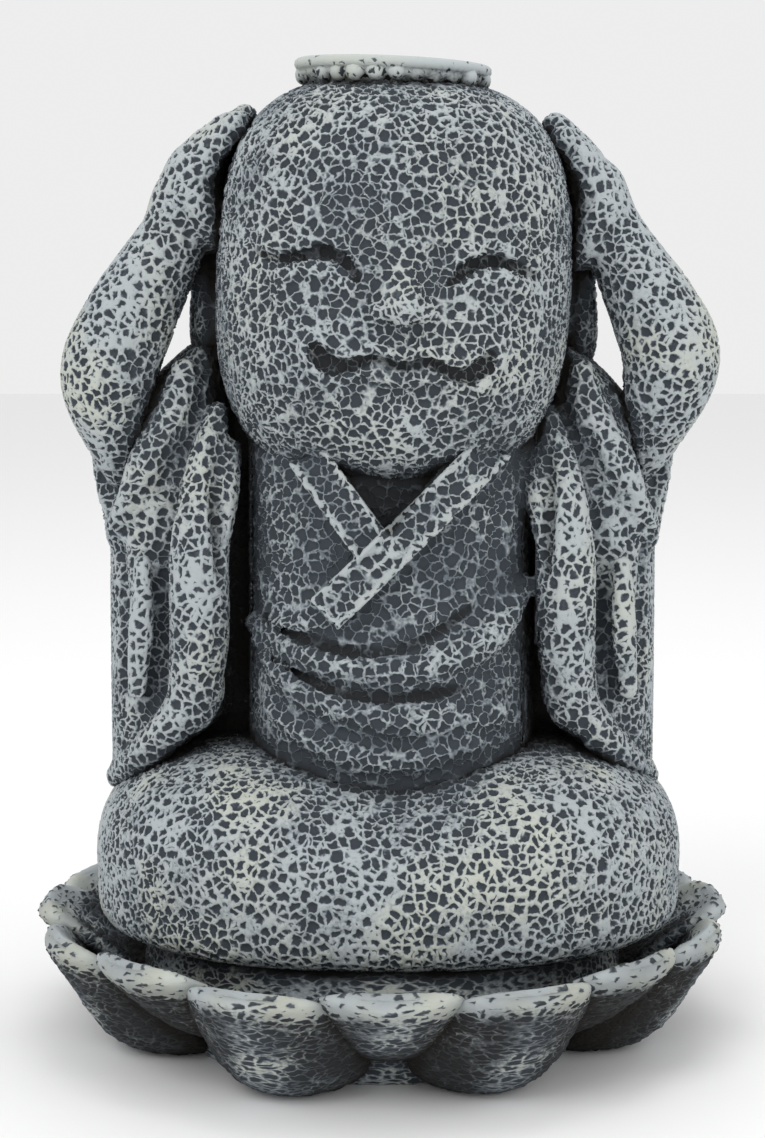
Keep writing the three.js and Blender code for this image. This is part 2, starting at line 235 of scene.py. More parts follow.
class Clay:
    """A block of modelling space: signed distances, in mm, on a regular grid."""

    def __init__(self, low: Point, high: Point, pitch: float) -> None:
        """Lays out an empty block.

        Args:
            low: lowest corner, mm.
            high: highest corner, mm.
            pitch: spacing of the grid, mm.
        """
        self.low = np.array(low, float)
        self.pitch = pitch
        counts = np.ceil((np.array(high, float) - self.low) / pitch).astype(int) + 1
        self.axes = [(self.low[i] + pitch * np.arange(counts[i])).astype(np.float32) for i in range(3)]
        self.field = np.full(counts, FAR, np.float32)
        self.cuts: list[Form] = []

    def window(self, low: Array, high: Array, margin: float) -> tuple[slice, slice, slice]:
        """The part of the grid that holds a box.

        Args:
            low: lowest corner of the box.
            high: highest corner of the box.
            margin: room kept round it, mm.

        Returns:
            One slice for each axis.
        """
        first = np.floor((low - margin - self.low) / self.pitch).astype(int)
        last = np.ceil((high + margin - self.low) / self.pitch).astype(int) + 1
        shape = np.array(self.field.shape)
        return tuple(slice(a, b) for a, b in zip(np.clip(first, 0, shape), np.clip(last, 0, shape)))

    def places(self, window: tuple[slice, slice, slice]) -> tuple[Array, Array, Array]:
        """X, Y and Z of a window, shaped to spread over each other."""
        x, y, z = (axis[part] for axis, part in zip(self.axes, window))
        return x[:, None, None], y[None, :, None], z[None, None, :]

    def stamp(self, form: Form, margin: float) -> tuple[tuple[slice, slice, slice], Array]:
        """Works out a form over the window that holds it.

        Args:
            form: what to work out.
            margin: room kept round it, mm.

        Returns:
            The window and the distances in it.
        """
        window = self.window(*form.box(), margin)
        block = np.full([part.stop - part.start for part in window], FAR, np.float32)
        for part in form.parts():
            inner = self.window(*part.box(), margin)
            inner = tuple(slice(max(a.start, b.start), min(a.stop, b.stop)) for a, b in zip(inner, window))
            local = tuple(slice(a.start - b.start, a.stop - b.start) for a, b in zip(inner, window))
            if min(a.stop - a.start for a in inner) > 0:
                block[local] = np.minimum(block[local], part.distance(*self.places(inner)))
        return window, block

    def add(self, forms: Iterable[Form], blend: float = 1.0) -> "Clay":
        """Joins forms on, with blend mm of filler at the joins."""
        for form in forms:
            window, block = self.stamp(form, blend + 3 * self.pitch)
            self.field[window] = soft_min(self.field[window], block, blend)
        return self

    def cut(self, forms: Iterable[Form], blend: float = 1.0) -> "Clay":
        """Carves forms out, with the edges eased over blend mm."""
        for form in forms:
            window, block = self.stamp(form, blend + 3 * self.pitch)
            self.field[window] = soft_max(self.field[window], -block, blend)
            self.cuts.append(form)
        return self

    def limited(self, rule: Callable[[Array, Array, Array], Array], blend: float = 1.0) -> "Clay":
        """A copy that keeps only the part where rule is negative."""
        kept = Clay.__new__(Clay)
        kept.low, kept.pitch, kept.axes, kept.cuts = self.low, self.pitch, self.axes, self.cuts
        whole = tuple(slice(0, n) for n in self.field.shape)
        kept.field = soft_max(self.field, rule(*self.places(whole)).astype(np.float32), blend)
        return kept

    def skin(self) -> tuple[Array, Array]:
        """Skins the mass with one vertex for each cell that the surface crosses.

        Returns:
            Points in mm, and faces of four corners that point outwards.
        """
        field = self.field.copy()
        for axis in range(3):
            for end in (0, -1):
                np.moveaxis(field, axis, 0)[end] = np.maximum(np.moveaxis(field, axis, 0)[end], self.pitch)
        inside = field < 0
        shape = np.array(field.shape)
        low_corner = tuple(slice(0, n - 1) for n in shape)
        count = np.zeros(shape - 1, np.int8)
        corners = [(i, j, k) for i in (0, 1) for j in (0, 1) for k in (0, 1)]
        for i, j, k in corners:
            count += inside[i:shape[0] - 1 + i, j:shape[1] - 1 + j, k:shape[2] - 1 + k]
        crossed = np.argwhere((count > 0) & (count < 8))
        ids = np.full(shape - 1, -1, np.int32)
        ids[tuple(crossed.T)] = np.arange(len(crossed))
        value = np.stack([field[tuple((crossed + c).T)] for c in corners], axis=1)
        total = np.zeros((len(crossed), 3))
        hits = np.zeros(len(crossed))
        for a, first in enumerate(corners):
            for b, second in enumerate(corners):
                step = np.array(second) - np.array(first)
                if step.min() < 0 or step.sum() != 1:
                    continue
                va, vb = value[:, a], value[:, b]
                cut = (va < 0) != (vb < 0)
                t = np.where(cut, va / np.where(cut, va - vb, 1), 0)
                total += np.where(cut[:, None], np.array(first) + t[:, None] * step, 0)
                hits += cut
        points = self.low + self.pitch * (crossed + total / hits[:, None])
        return points, np.concatenate([self.faces_across(axis, inside, ids) for axis in range(3)])

    @staticmethod
    def faces_across(axis: int, inside: Array, ids: Array) -> Array:
        """The faces round every grid edge along one axis that the surface crosses.

        Args:
            axis: the edges' axis.
            inside: which grid points lie in the mass.
            ids: the vertex of each cell, or -1.

        Returns:
            Rows of four vertex numbers, turned outwards.
        """
        u, v = (axis + 1) % 3, (axis + 2) % 3
        a = np.moveaxis(inside, axis, 0)
        start, end = np.moveaxis(a[:-1], 0, axis), np.moveaxis(a[1:], 0, axis)
        edge = np.argwhere(start != end)
        edge = edge[(edge[:, u] > 0) & (edge[:, v] > 0)]
        edge = edge[(edge[:, u] < ids.shape[u]) & (edge[:, v] < ids.shape[v])]
        ring = []
        for du, dv in ((0, 0), (-1, 0), (-1, -1), (0, -1)):
            cell = edge.copy()
            cell[:, u] += du
            cell[:, v] += dv
            ring.append(ids[tuple(cell.T)])
        faces = np.stack(ring, axis=1)
        outward = inside[tuple(edge.T)]
        faces[~outward] = faces[~outward][:, ::-1]
        return faces[(faces >= 0).all(1)]


# ---------------------------------------------------------------- where shade is painted and brushes reach


class ShelterMap:
    """How open or sheltered each place on the casting is, from blurred copies of its mass; sheltered places get
    painted shade.
    """

    pitch = 2.0
    low = np.array([-104.0, -104.0, -24.0])
    high = np.array([104.0, 104.0, 272.0])
    near_blur = 2.6
    wide_blur = 9.0

    def __init__(self) -> None:
        """Starts with an empty room standing on the ground."""
        counts = ((self.high - self.low) / self.pitch).astype(int) + 1
        self.axes = [self.low[i] + self.pitch * np.arange(counts[i]) for i in range(3)]
        self.mass = np.zeros(counts, np.float32)
        # the ground counts as a faint mass, so places near the floor get more painted shade
        self.mass[:, :, self.axes[2] < 0] = 0.25
        self.near = self.mass
        self.wide = self.mass

    def take(self, clay: Clay) -> None:
        """Adds a modelled mass."""
        spots = [np.round((axis - low) / clay.pitch).astype(int) for axis, low in zip(self.axes, clay.low)]
        valid = [(s >= 0) & (s < n) for s, n in zip(spots, clay.field.shape)]
        picked = clay.field[np.ix_(*(s[v] for s, v in zip(spots, valid)))] < 0
        region = np.ix_(*(np.flatnonzero(v) for v in valid))
        self.mass[region] = np.maximum(self.mass[region], picked)

    def scatter(self, points: Array) -> None:
        """Adds a mass given by a dense cloud of points, mm."""
        spots = np.round((points - self.low) / self.pitch).astype(int)
        self.mass[tuple(spots.T)] = 1

    def settle(self) -> None:
        """Blurs the mass at both widths."""
        spectrum = np.fft.rfftn(self.mass)
        sizes = self.mass.shape
        waves = [np.fft.fftfreq(n, self.pitch) for n in sizes[:2]] + [np.fft.rfftfreq(sizes[2], self.pitch)]
        squares = waves[0][:, None, None] ** 2 + waves[1][None, :, None] ** 2 + waves[2][None, None, :] ** 2
        for name, blur in (("near", self.near_blur), ("wide", self.wide_blur)):
            kept = spectrum * np.exp(-2 * (math.pi * blur) ** 2 * squares)
            setattr(self, name, np.fft.irfftn(kept, s=sizes).astype(np.float32))

    def read(self, room: Array, points: Array) -> Array:
        """A blurred mass at points, between the grid's own places."""
        spot = (points - self.low) / self.pitch
        base = np.clip(np.floor(spot).astype(int), 0, np.array(room.shape) - 2)
        t = spot - base
        total = np.zeros(len(points))
        for i in (0, 1):
            for j in (0, 1):
                for k in (0, 1):
                    part = np.where(i, t[:, 0], 1 - t[:, 0]) * np.where(j, t[:, 1], 1 - t[:, 1])
                    part = part * np.where(k, t[:, 2], 1 - t[:, 2])
                    total += part * room[base[:, 0] + i, base[:, 1] + j, base[:, 2] + k]
        return total

    def mark(
        self, piece: bpy.types.Object, cuts: Sequence["Form"] = (), rims: Sequence["Form"] = ()
    ) -> None:
        """Writes how exposed and how sunken each vertex of a piece is.

        Args:
            piece: the piece to mark.
            cuts: forms carved out of it, along which shade is painted.
            rims: raised edges, where the brush catches most.
        """
        mesh = piece.data
        count = len(mesh.vertices)
        points, normals = np.empty(count * 3), np.empty(count * 3)
        mesh.vertices.foreach_get("co", points)
        mesh.vertex_normals.foreach_get("vector", normals)
        points, normals = points.reshape(-1, 3) / MM, normals.reshape(-1, 3)
        near = self.read(self.near, points + normals * 1.0)
        wide = self.read(self.wide, points + normals * 3.0)
        exposed = np.clip((0.40 - near) * 3.2, -1, 1) * 0.5 + np.clip((0.38 - wide) * 3.0, -1, 1) * 0.5
        # sunken: painted shade, darkest in creases, recesses and between parts
        sunken = np.clip((wide - 0.5) * 3.0, 0, 1) + np.clip((near - 0.56) * 3.4, 0, 1)
        # painted shade along carved grooves and hollows
        for form in cuts:
            low, high = form.box()
            here = np.flatnonzero(((points > low - 2) & (points < high + 2)).all(1))
            for part in form.parts():
                away = part.distance(*points[here].T)
                sunken[here] = np.maximum(sunken[here], np.clip(0.62 - away / 0.6, 0, 1))
        for form in rims:
            for part in form.parts():
                exposed = np.maximum(exposed, np.clip(1.2 - part.distance(*points.T) / 0.9, -1, 1.2))
        write_values(mesh, EXPOSED, exposed)
        write_values(mesh, SUNKEN, np.clip(sunken, 0, 1))


# ---------------------------------------------------------------- meshes


def write_values(mesh: bpy.types.Mesh, name: str, values: Array) -> None:
    """Stores one number for each vertex."""
    kept = mesh.attributes.get(name) or mesh.attributes.new(name, "FLOAT", "POINT")
    kept.data.foreach_set("value", np.asarray(values, np.float32))


def write_vectors(mesh: bpy.types.Mesh, name: str, values: Array) -> None:
    """Stores one vector for each vertex."""
    kept = mesh.attributes.get(name) or mesh.attributes.new(name, "FLOAT_VECTOR", "POINT")
    kept.data.foreach_set("vector", np.asarray(values, np.float32).ravel())


def new_piece(name: str, points: Array, faces: Sequence[Sequence[int]]) -> bpy.types.Object:
    """Makes a smooth-shaded object.

    Args:
        name: the object's name.
        points: vertices in mm.
        faces: corners of each face.

    Returns:
        The object, linked to the scene.
    """
    mesh = bpy.data.meshes.new(name)
    mesh.from_pydata((points * MM).tolist(), [], [list(map(int, f)) for f in faces])
    mesh.polygons.foreach_set("use_smooth", np.ones(len(mesh.polygons), bool))
    mesh.update()
    write_vectors(mesh, SKIN, points * MM)
    piece = bpy.data.objects.new(name, mesh)
    bpy.context.scene.collection.objects.link(piece)
    return piece


def finished(piece: bpy.types.Object) -> bpy.types.Object:
    """Turns the result of a piece's modifiers into its plain mesh."""
    view = bpy.context.evaluated_depsgraph_get()
    view.update()
    made = bpy.data.meshes.new_from_object(piece.evaluated_get(view))
    piece.modifiers.clear()
    piece.data = made
    made.polygons.foreach_set("use_smooth", np.ones(len(made.polygons), bool))
    return piece


def turned_profile(profile: Sequence[tuple[float, float]], around: int) -> tuple[Array, list[list[int]]]:
    """Turns a profile of [radius, height], from axis to axis, round Z.

    Args:
        profile: places on the profile; the first and last lie on the axis.
        around: steps in the turn.

    Returns:
        Points in mm and faces that point outwards.
    """
    angle = np.arange(around) * 2 * math.pi / around
    inner = profile[1:-1]
    rings = [np.stack([r * np.cos(angle), r * np.sin(angle), np.full(around, z)], axis=1) for r, z in inner]
    points = np.concatenate([[[0, 0, profile[0][1]]], *rings, [[0, 0, profile[-1][1]]]])
    return points, capped_faces(len(inner), around)


def capped_faces(rings: int, around: int) -> list[list[int]]:
    """Faces of a row of rings with a fan at both ends; vertex 0 and the last close the ends."""
    faces = []
    last = 1 + rings * around
    for k in range(around):
        after = (k + 1) % around
        faces.append([0, 1 + after, 1 + k])
        faces.append([last, 1 + (rings - 1) * around + k, 1 + (rings - 1) * around + after])
        for i in range(rings - 1):
            a, b = 1 + i * around, 1 + (i + 1) * around
            faces.append([a + k, a + after, b + after, b + k])
    return faces


def moved(profile: Sequence[tuple[float, float]], steps: int) -> list[tuple[float, float]]:
    """The same profile with its straight runs divided evenly."""
    known = np.array(profile, float)
    out = [tuple(known[0])]
    for a, b in zip(known[:-1], known[1:]):
        count = max(1, round(float(np.hypot(*(b - a))) / steps * 1.0))
        out += [tuple(a + (b - a) * (i + 1) / count) for i in range(count)]
    return out


# ---------------------------------------------------------------- node trees


class Graph:
    """Short ways to place and wire the nodes of one tree."""

    def __init__(self, tree: bpy.types.NodeTree) -> None:
        """Keeps the tree."""
        self.tree = tree
        self.placed = 0

    def node(self, kind: str, **settings: object) -> bpy.types.Node:
        """Places one node and sets its properties."""
        made = self.tree.nodes.new(kind)
        made.location = (180 * (self.placed % 12), -200 * (self.placed // 12))
        self.placed += 1
        for name, value in settings.items():
            setattr(made, name, value)
        return made

    def put(self, socket: bpy.types.NodeSocket, value: object) -> None:
        """Wires a socket to another, or sets its value."""
        if isinstance(value, bpy.types.NodeSocket):
            self.tree.links.new(value, socket)
        elif value is not None:
            socket.default_value = value

    def math(self, operation: str, a: object, b: object = None, c: object = None) -> bpy.types.NodeSocket:
        """One sum on numbers."""
        made = self.node("ShaderNodeMath", operation=operation)
        for socket, value in zip(made.inputs, (a, b, c)):
            self.put(socket, value)
        return made.outputs[0]

    def vector(self, operation: str, a: object, b: object = None, scale: object = None) -> bpy.types.NodeSocket:
        """One sum on vectors."""
        made = self.node("ShaderNodeVectorMath", operation=operation)
        self.put(made.inputs[0], a)
        self.put(made.inputs[1], b)
        if scale is not None:
            self.put(made.inputs[3], scale)
        return made.outputs["Value" if operation == "LENGTH" else "Vector"]

    def ease(self, value: object, low: object, high: object, start: object = 0.0, end: object = 1.0) -> bpy.types.NodeSocket:
        """A soft step from start to end as value goes from low to high."""
        made = self.node("ShaderNodeMapRange", interpolation_type="SMOOTHSTEP")
        for name, given in zip(("Value", "From Min", "From Max", "To Min", "To Max"), (value, low, high, start, end)):
            self.put(made.inputs[name], given)
        return made.outputs["Result"]

    def noise(self, place: object, scale: float, detail: float = 2.0, output: str = "Fac") -> bpy.types.NodeSocket:
        """Smooth random values over a place."""
        made = self.node("ShaderNodeTexNoise")
        self.put(made.inputs["Vector"], place)
        self.put(made.inputs["Scale"], scale)
        self.put(made.inputs["Detail"], detail)
        return made.outputs[output]

    def cells(self, place: object, scale: float, feature: str) -> bpy.types.NodeSocket:
        """Distance in a pattern of random cells."""
        made = self.node("ShaderNodeTexVoronoi", feature=feature)
        self.put(made.inputs["Vector"], place)
        self.put(made.inputs["Scale"], scale)
        return made.outputs["Distance"]

    def blend(self, share: object, a: object, b: object, how: str = "MIX") -> bpy.types.NodeSocket:
        """Mixes two colours."""
        made = self.node("ShaderNodeMix", data_type="RGBA", blend_type=how)
        self.put(made.inputs[0], share)
        self.put(made.inputs[6], a)
        self.put(made.inputs[7], b)
        return made.outputs[2]


def add_socket(tree: bpy.types.NodeTree, name: str, kind: str, value: object = None, out: bool = False) -> None:
    """Adds one named input or output to a group."""
    made = tree.interface.new_socket(name, in_out="OUTPUT" if out else "INPUT", socket_type="NodeSocket" + kind)
    if value is not None:
        made.default_value = value


@dataclass(frozen=True)
class Pitting:
    """How a patch of the casting is pitted.

    size is the spacing of the pits in mm; ridge the share of a cell that stays high round a pit;
    slope how softly the pit falls; wander how far the ridges stray; patchy how much the pits vary
    from place to place; open_gain how much exposed places fill in; depth the pits' depth in mm;
    fine the depth of the small grain; stretch the squeeze of the pattern along X, Y and Z.
    """

    size: float = 2.5
    ridge: float = 0.025
    slope: float = 0.13
    wander: float = 0.9
    patchy: float = 0.16
    open_gain: float = 0.1
    depth: float = 0.7
    fine: float = 0.12
    stretch: Point = (1.0, 1.0, 1.0)


PIT_INPUTS = (
    ("Pits Per Metre", "Float", 380.0),
    ("Ridge", "Float", 0.05),
    ("Slope", "Float", 0.2),
    ("Wander", "Float", 0.9),
    ("Patchy", "Float", 0.16),
    ("Open Gain", "Float", 0.1),
    ("Stretch", "Vector", (1.0, 1.0, 1.0)),
)


def pit_values(pits: Pitting) -> dict[str, object]:
    """The shared pattern's inputs for one kind of pitting."""
    return {
        "Pits Per Metre": 1 / (pits.size * MM),
        "Ridge": pits.ridge,
        "Slope": pits.slope,
        "Wander": pits.wander,
        "Patchy": pits.patchy,
        "Open Gain": pits.open_gain,
        "Stretch": pits.stretch,
    }


def draw_pits(graph: Graph, skin: object, exposed: object, given: dict[str, object]) -> tuple[object, object]:
    """Lays the pit pattern, the same in a geometry tree and in a shader tree.

    Args:
        graph: the tree being built.
        skin: where on the casting, in metres.
        exposed: how exposed the place is.
        given: a socket for each name in PIT_INPUTS.

    Returns:
        The pits, 0 on the ridges to 1 on the floors, and the small grain, 0 to 1.
    """
    shaped = graph.vector("MULTIPLY", skin, given["Stretch"])
    place = graph.vector("SCALE", shaped, scale=given["Pits Per Metre"])
    stray = graph.vector("SUBTRACT", graph.noise(place, 0.55, 2.0, "Color"), (0.5, 0.5, 0.5))
    strayed = graph.vector("ADD", place, graph.vector("SCALE", stray, scale=given["Wander"]))
    shiver = graph.vector("SUBTRACT", graph.noise(place, 1.9, 1.0, "Color"), (0.5, 0.5, 0.5))
    strayed = graph.vector("ADD", strayed, graph.vector("SCALE", shiver, scale=0.45))
    edge = graph.cells(strayed, 1.0, "DISTANCE_TO_EDGE")
    corner = graph.ease(graph.cells(strayed, 1.0, "F1"), 0.52, 0.9)
    patch = graph.math("SUBTRACT", graph.noise(place, 0.24, 2.0), 0.5)
    opened = graph.math("MULTIPLY", exposed, given["Open Gain"])
    ridge = graph.math("ADD", graph.math("MULTIPLY_ADD", patch, given["Patchy"], given["Ridge"]), opened)
    pits = graph.ease(edge, ridge, graph.math("ADD", ridge, given["Slope"]))
    pits = graph.math("MULTIPLY", pits, graph.math("SUBTRACT", 1.0, corner))
    grain = graph.ease(graph.noise(strayed, 2.6, 3.0), 0.36, 0.68)
    return pits, grain


class ReliefTree:
    """Geometry Nodes that sink the pits into a piece's skin."""

    def __init__(self) -> None:
        """Builds the tree once."""
        tree = bpy.data.node_groups.new("Cast Relief", "GeometryNodeTree")
        tree.is_modifier = True
        add_socket(tree, "Geometry", "Geometry")
        for name, kind, value in PIT_INPUTS:
            add_socket(tree, name, kind, value)
        add_socket(tree, "Pit Depth", "Float", 0.0005)
        add_socket(tree, "Grain Depth", "Float", 0.0001)
        add_socket(tree, "Stone", "Material")
        add_socket(tree, "Geometry", "Geometry", out=True)
        graph = Graph(tree)
        given = graph.node("NodeGroupInput").outputs
        skin = graph.node("GeometryNodeInputNamedAttribute", data_type="FLOAT_VECTOR")
        graph.put(skin.inputs["Name"], SKIN)
        open_here = graph.node("GeometryNodeInputNamedAttribute", data_type="FLOAT")
        graph.put(open_here.inputs["Name"], EXPOSED)
        pits, grain = draw_pits(graph, skin.outputs[0], open_here.outputs[0], given)
        sink = graph.math("MULTIPLY", pits, given["Pit Depth"])
        sink = graph.math("MULTIPLY_ADD", grain, given["Grain Depth"], sink)
        normal = graph.node("GeometryNodeInputNormal").outputs[0]
        offset = graph.vector("SCALE", normal, scale=graph.math("MULTIPLY", sink, -1.0))
        move = graph.node("GeometryNodeSetPosition")
        graph.put(move.inputs["Geometry"], given["Geometry"])
        graph.put(move.inputs["Offset"], offset)
        real = graph.node("GeometryNodeRealizeInstances")
        graph.put(real.inputs[0], move.outputs[0])
        dress = graph.node("GeometryNodeSetMaterial")
        graph.put(dress.inputs["Geometry"], real.outputs[0])
        graph.put(dress.inputs["Material"], given["Stone"])
        graph.put(graph.node("NodeGroupOutput").inputs[0], dress.outputs[0])
        self.tree = tree

    def press(self, piece: bpy.types.Object, pits: Pitting, stone: bpy.types.Material) -> bpy.types.Object:
        """Sinks one kind of pitting into a piece and gives it its stone."""
        piece.data.materials.clear()
        values = pit_values(pits)
        values.update({"Pit Depth": pits.depth * MM, "Grain Depth": pits.fine * MM, "Stone": stone})
        set_inputs(piece, self.tree, values)
        return finished(piece)


def set_inputs(piece: bpy.types.Object, tree: bpy.types.NodeTree, values: dict[str, object]) -> None:
    """Hangs a tree on a piece and sets its inputs by their sockets' identifiers."""
    modifier = piece.modifiers.new(tree.name, "NODES")
    modifier.node_group = tree
    sockets = {s.name: s.identifier for s in tree.interface.items_tree if s.in_out == "INPUT"}
    for name, value in values.items():
        modifier[sockets[name]] = value


class RingTree:
    """Geometry Nodes that set copies of a form evenly round the upright axis."""

    def __init__(self) -> None:
        """Builds the tree once."""
        tree = bpy.data.node_groups.new("Ring Of Copies", "GeometryNodeTree")
        tree.is_modifier = True
        add_socket(tree, "Geometry", "Geometry")
        add_socket(tree, "Count", "Int", 8)
        add_socket(tree, "First Angle", "Float", 0.0)
        add_socket(tree, "Smallest", "Float", 0.97)
        add_socket(tree, "Largest", "Float", 1.0)
        add_socket(tree, "Seed", "Int", 3)
        add_socket(tree, "Stone", "Material")
        add_socket(tree, "Geometry", "Geometry", out=True)
        graph = Graph(tree)
        given = graph.node("NodeGroupInput").outputs
        points = graph.node("GeometryNodePoints")
        graph.put(points.inputs["Count"], given["Count"])
        index = graph.node("GeometryNodeInputIndex").outputs[0]
        step = graph.math("DIVIDE", 2 * math.pi, given["Count"])
        angle = graph.math("MULTIPLY_ADD", index, step, given["First Angle"])
        turn = graph.node("ShaderNodeCombineXYZ")
        graph.put(turn.inputs["Z"], angle)
        rotation = graph.node("FunctionNodeEulerToRotation")
        graph.put(rotation.inputs[0], turn.outputs[0])
        size = graph.node("FunctionNodeRandomValue", data_type="FLOAT_VECTOR")
        sizes = [s for s in size.inputs if s.enabled]
        for socket, name in ((sizes[0], "Smallest"), (sizes[1], "Largest")):
            graph.put(socket, given[name])
        graph.put(size.inputs["Seed"], given["Seed"])
        copies = graph.node("GeometryNodeInstanceOnPoints")
        graph.put(copies.inputs["Points"], points.outputs[0])
        graph.put(copies.inputs["Instance"], given["Geometry"])
        graph.put(copies.inputs["Rotation"], rotation.outputs[0])
        graph.put(copies.inputs["Scale"], [s for s in size.outputs if s.enabled][0])
        real = graph.node("GeometryNodeRealizeInstances")
        graph.put(real.inputs[0], copies.outputs[0])
        dress = graph.node("GeometryNodeSetMaterial")
        graph.put(dress.inputs["Geometry"], real.outputs[0])
        graph.put(dress.inputs["Material"], given["Stone"])
        graph.put(graph.node("NodeGroupOutput").inputs[0], dress.outputs[0])
        self.tree = tree

    def lay(self, piece: bpy.types.Object, count: int, first: float, smallest: float, seed: int) -> bpy.types.Object:
        """Sets copies of a piece round the axis.

        Args:
            piece: the form to copy, in its place for angle 0.
            count: how many.
            first: angle of the first, in degrees.
            smallest: least size of a copy; the largest is 1.
            seed: seed of the sizes.

        Returns:
            The piece with all its copies as one mesh.
        """
        values = {"Count": count, "First Angle": math.radians(first), "Smallest": smallest, "Seed": seed}
        set_inputs(piece, self.tree, values)
        return finished(piece)


# ---------------------------------------------------------------- stone finishes


def tint(code: str) -> tuple[float, float, float, float]:
    """A colour for a node from its display code."""
    parts = [int(code[i:i + 2], 16) / 255 for i in (0, 2, 4)]
    return (*[p / 12.92 if p <= 0.04045 else ((p + 0.055) / 1.055) ** 2.4 for p in parts], 1.0)


def pit_group() -> bpy.types.NodeTree:
    """The pit pattern as a shader group."""
    tree = bpy.data.node_groups.new("Cast Pits", "ShaderNodeTree")
    add_socket(tree, "Skin", "Vector")
    add_socket(tree, "Exposed", "Float", 0.0)
    for name, kind, value in PIT_INPUTS:
        add_socket(tree, name, kind, value)
    add_socket(tree, "Pits", "Float", out=True)
    add_socket(tree, "Grain", "Float", out=True)
    graph = Graph(tree)
    given = graph.node("NodeGroupInput").outputs
    pits, grain = draw_pits(graph, given["Skin"], given["Exposed"], given)
    result = graph.node("NodeGroupOutput")
    graph.put(result.inputs["Pits"], pits)
    graph.put(result.inputs["Grain"], grain)
    return tree


def brush_group() -> bpy.types.NodeTree:
    """Pale paint brushed dry over dark stone: it catches on ridges and on exposed places; sheltered places get
    near-black painted shade.
    """
    tree = bpy.data.node_groups.new("Dry Brush", "ShaderNodeTree")
    for name, kind, value in (
        ("Skin", "Vector", None),
        ("Pits", "Float", 0.0),
        ("Grain", "Float", 0.0),
        ("Exposed", "Float", 0.0),
        ("Sunken", "Float", 0.0),
        ("Cover", "Float", 0.5),
        ("Cream", "Float", 0.3),
        ("Pit Colour", "Color", tint("3a4046")),
        ("Body Colour", "Color", tint("666e75")),
        ("Ridge Colour", "Color", tint("a9b0b3")),
        ("Cream Colour", "Color", tint("c3c5b5")),
        # near-black colour of the painted shade in sunken places
        ("Painted Shade Colour", "Color", tint("1f1d1b")),
    ):
        add_socket(tree, name, kind, value)
    add_socket(tree, "Colour", "Color", out=True)
    add_socket(tree, "Height", "Float", out=True)
    add_socket(tree, "Polish", "Float", out=True)
    graph = Graph(tree)
    given = graph.node("NodeGroupInput").outputs
    drift = graph.math("SUBTRACT", graph.noise(given["Skin"], 62.0, 3.0), 0.5)
    speck = graph.math("SUBTRACT", graph.noise(given["Skin"], 900.0, 3.0), 0.5)
    reach = graph.math("MULTIPLY_ADD", given["Exposed"], 0.36, given["Cover"])
    reach = graph.math("MULTIPLY_ADD", drift, 0.7, reach)
    height = graph.math("SUBTRACT", 1.0, given["Pits"])
    low = graph.math("SUBTRACT", 0.92, reach)
    paint = graph.math("MULTIPLY_ADD", speck, 0.5, height)
    paint = graph.math("MULTIPLY_ADD", given["Grain"], -0.16, paint)
    ridge = graph.ease(paint, low, graph.math("ADD", low, 0.5))
    body = graph.ease(paint, graph.math("SUBTRACT", low, 0.55), graph.math("ADD", low, 0.1))
    colour = graph.blend(body, given["Pit Colour"], given["Body Colour"])
    colour = graph.blend(ridge, colour, given["Ridge Colour"])
    warm = graph.ease(graph.noise(given["Skin"], 38.0, 2.0), 0.42, 0.66)
    warm = graph.math("MULTIPLY", graph.math("MULTIPLY", warm, ridge), given["Cream"])
    colour = graph.blend(warm, colour, given["Cream Colour"])
    # painted shade: sunken places and carved grooves are blended towards near-black, less where the pale paint lies
    painted_shade = graph.math("MULTIPLY", given["Sunken"], graph.math("MULTIPLY_ADD", ridge, -0.45, 1.0))
    colour = graph.blend(painted_shade, colour, given["Painted Shade Colour"])
    result = graph.node("NodeGroupOutput")
    graph.put(result.inputs["Colour"], colour)
    graph.put(result.inputs["Height"], graph.math("MULTIPLY_ADD", speck, 0.25, height))
    graph.put(result.inputs["Polish"], graph.math("MULTIPLY_ADD", ridge, -0.14, 0.94))
    return tree


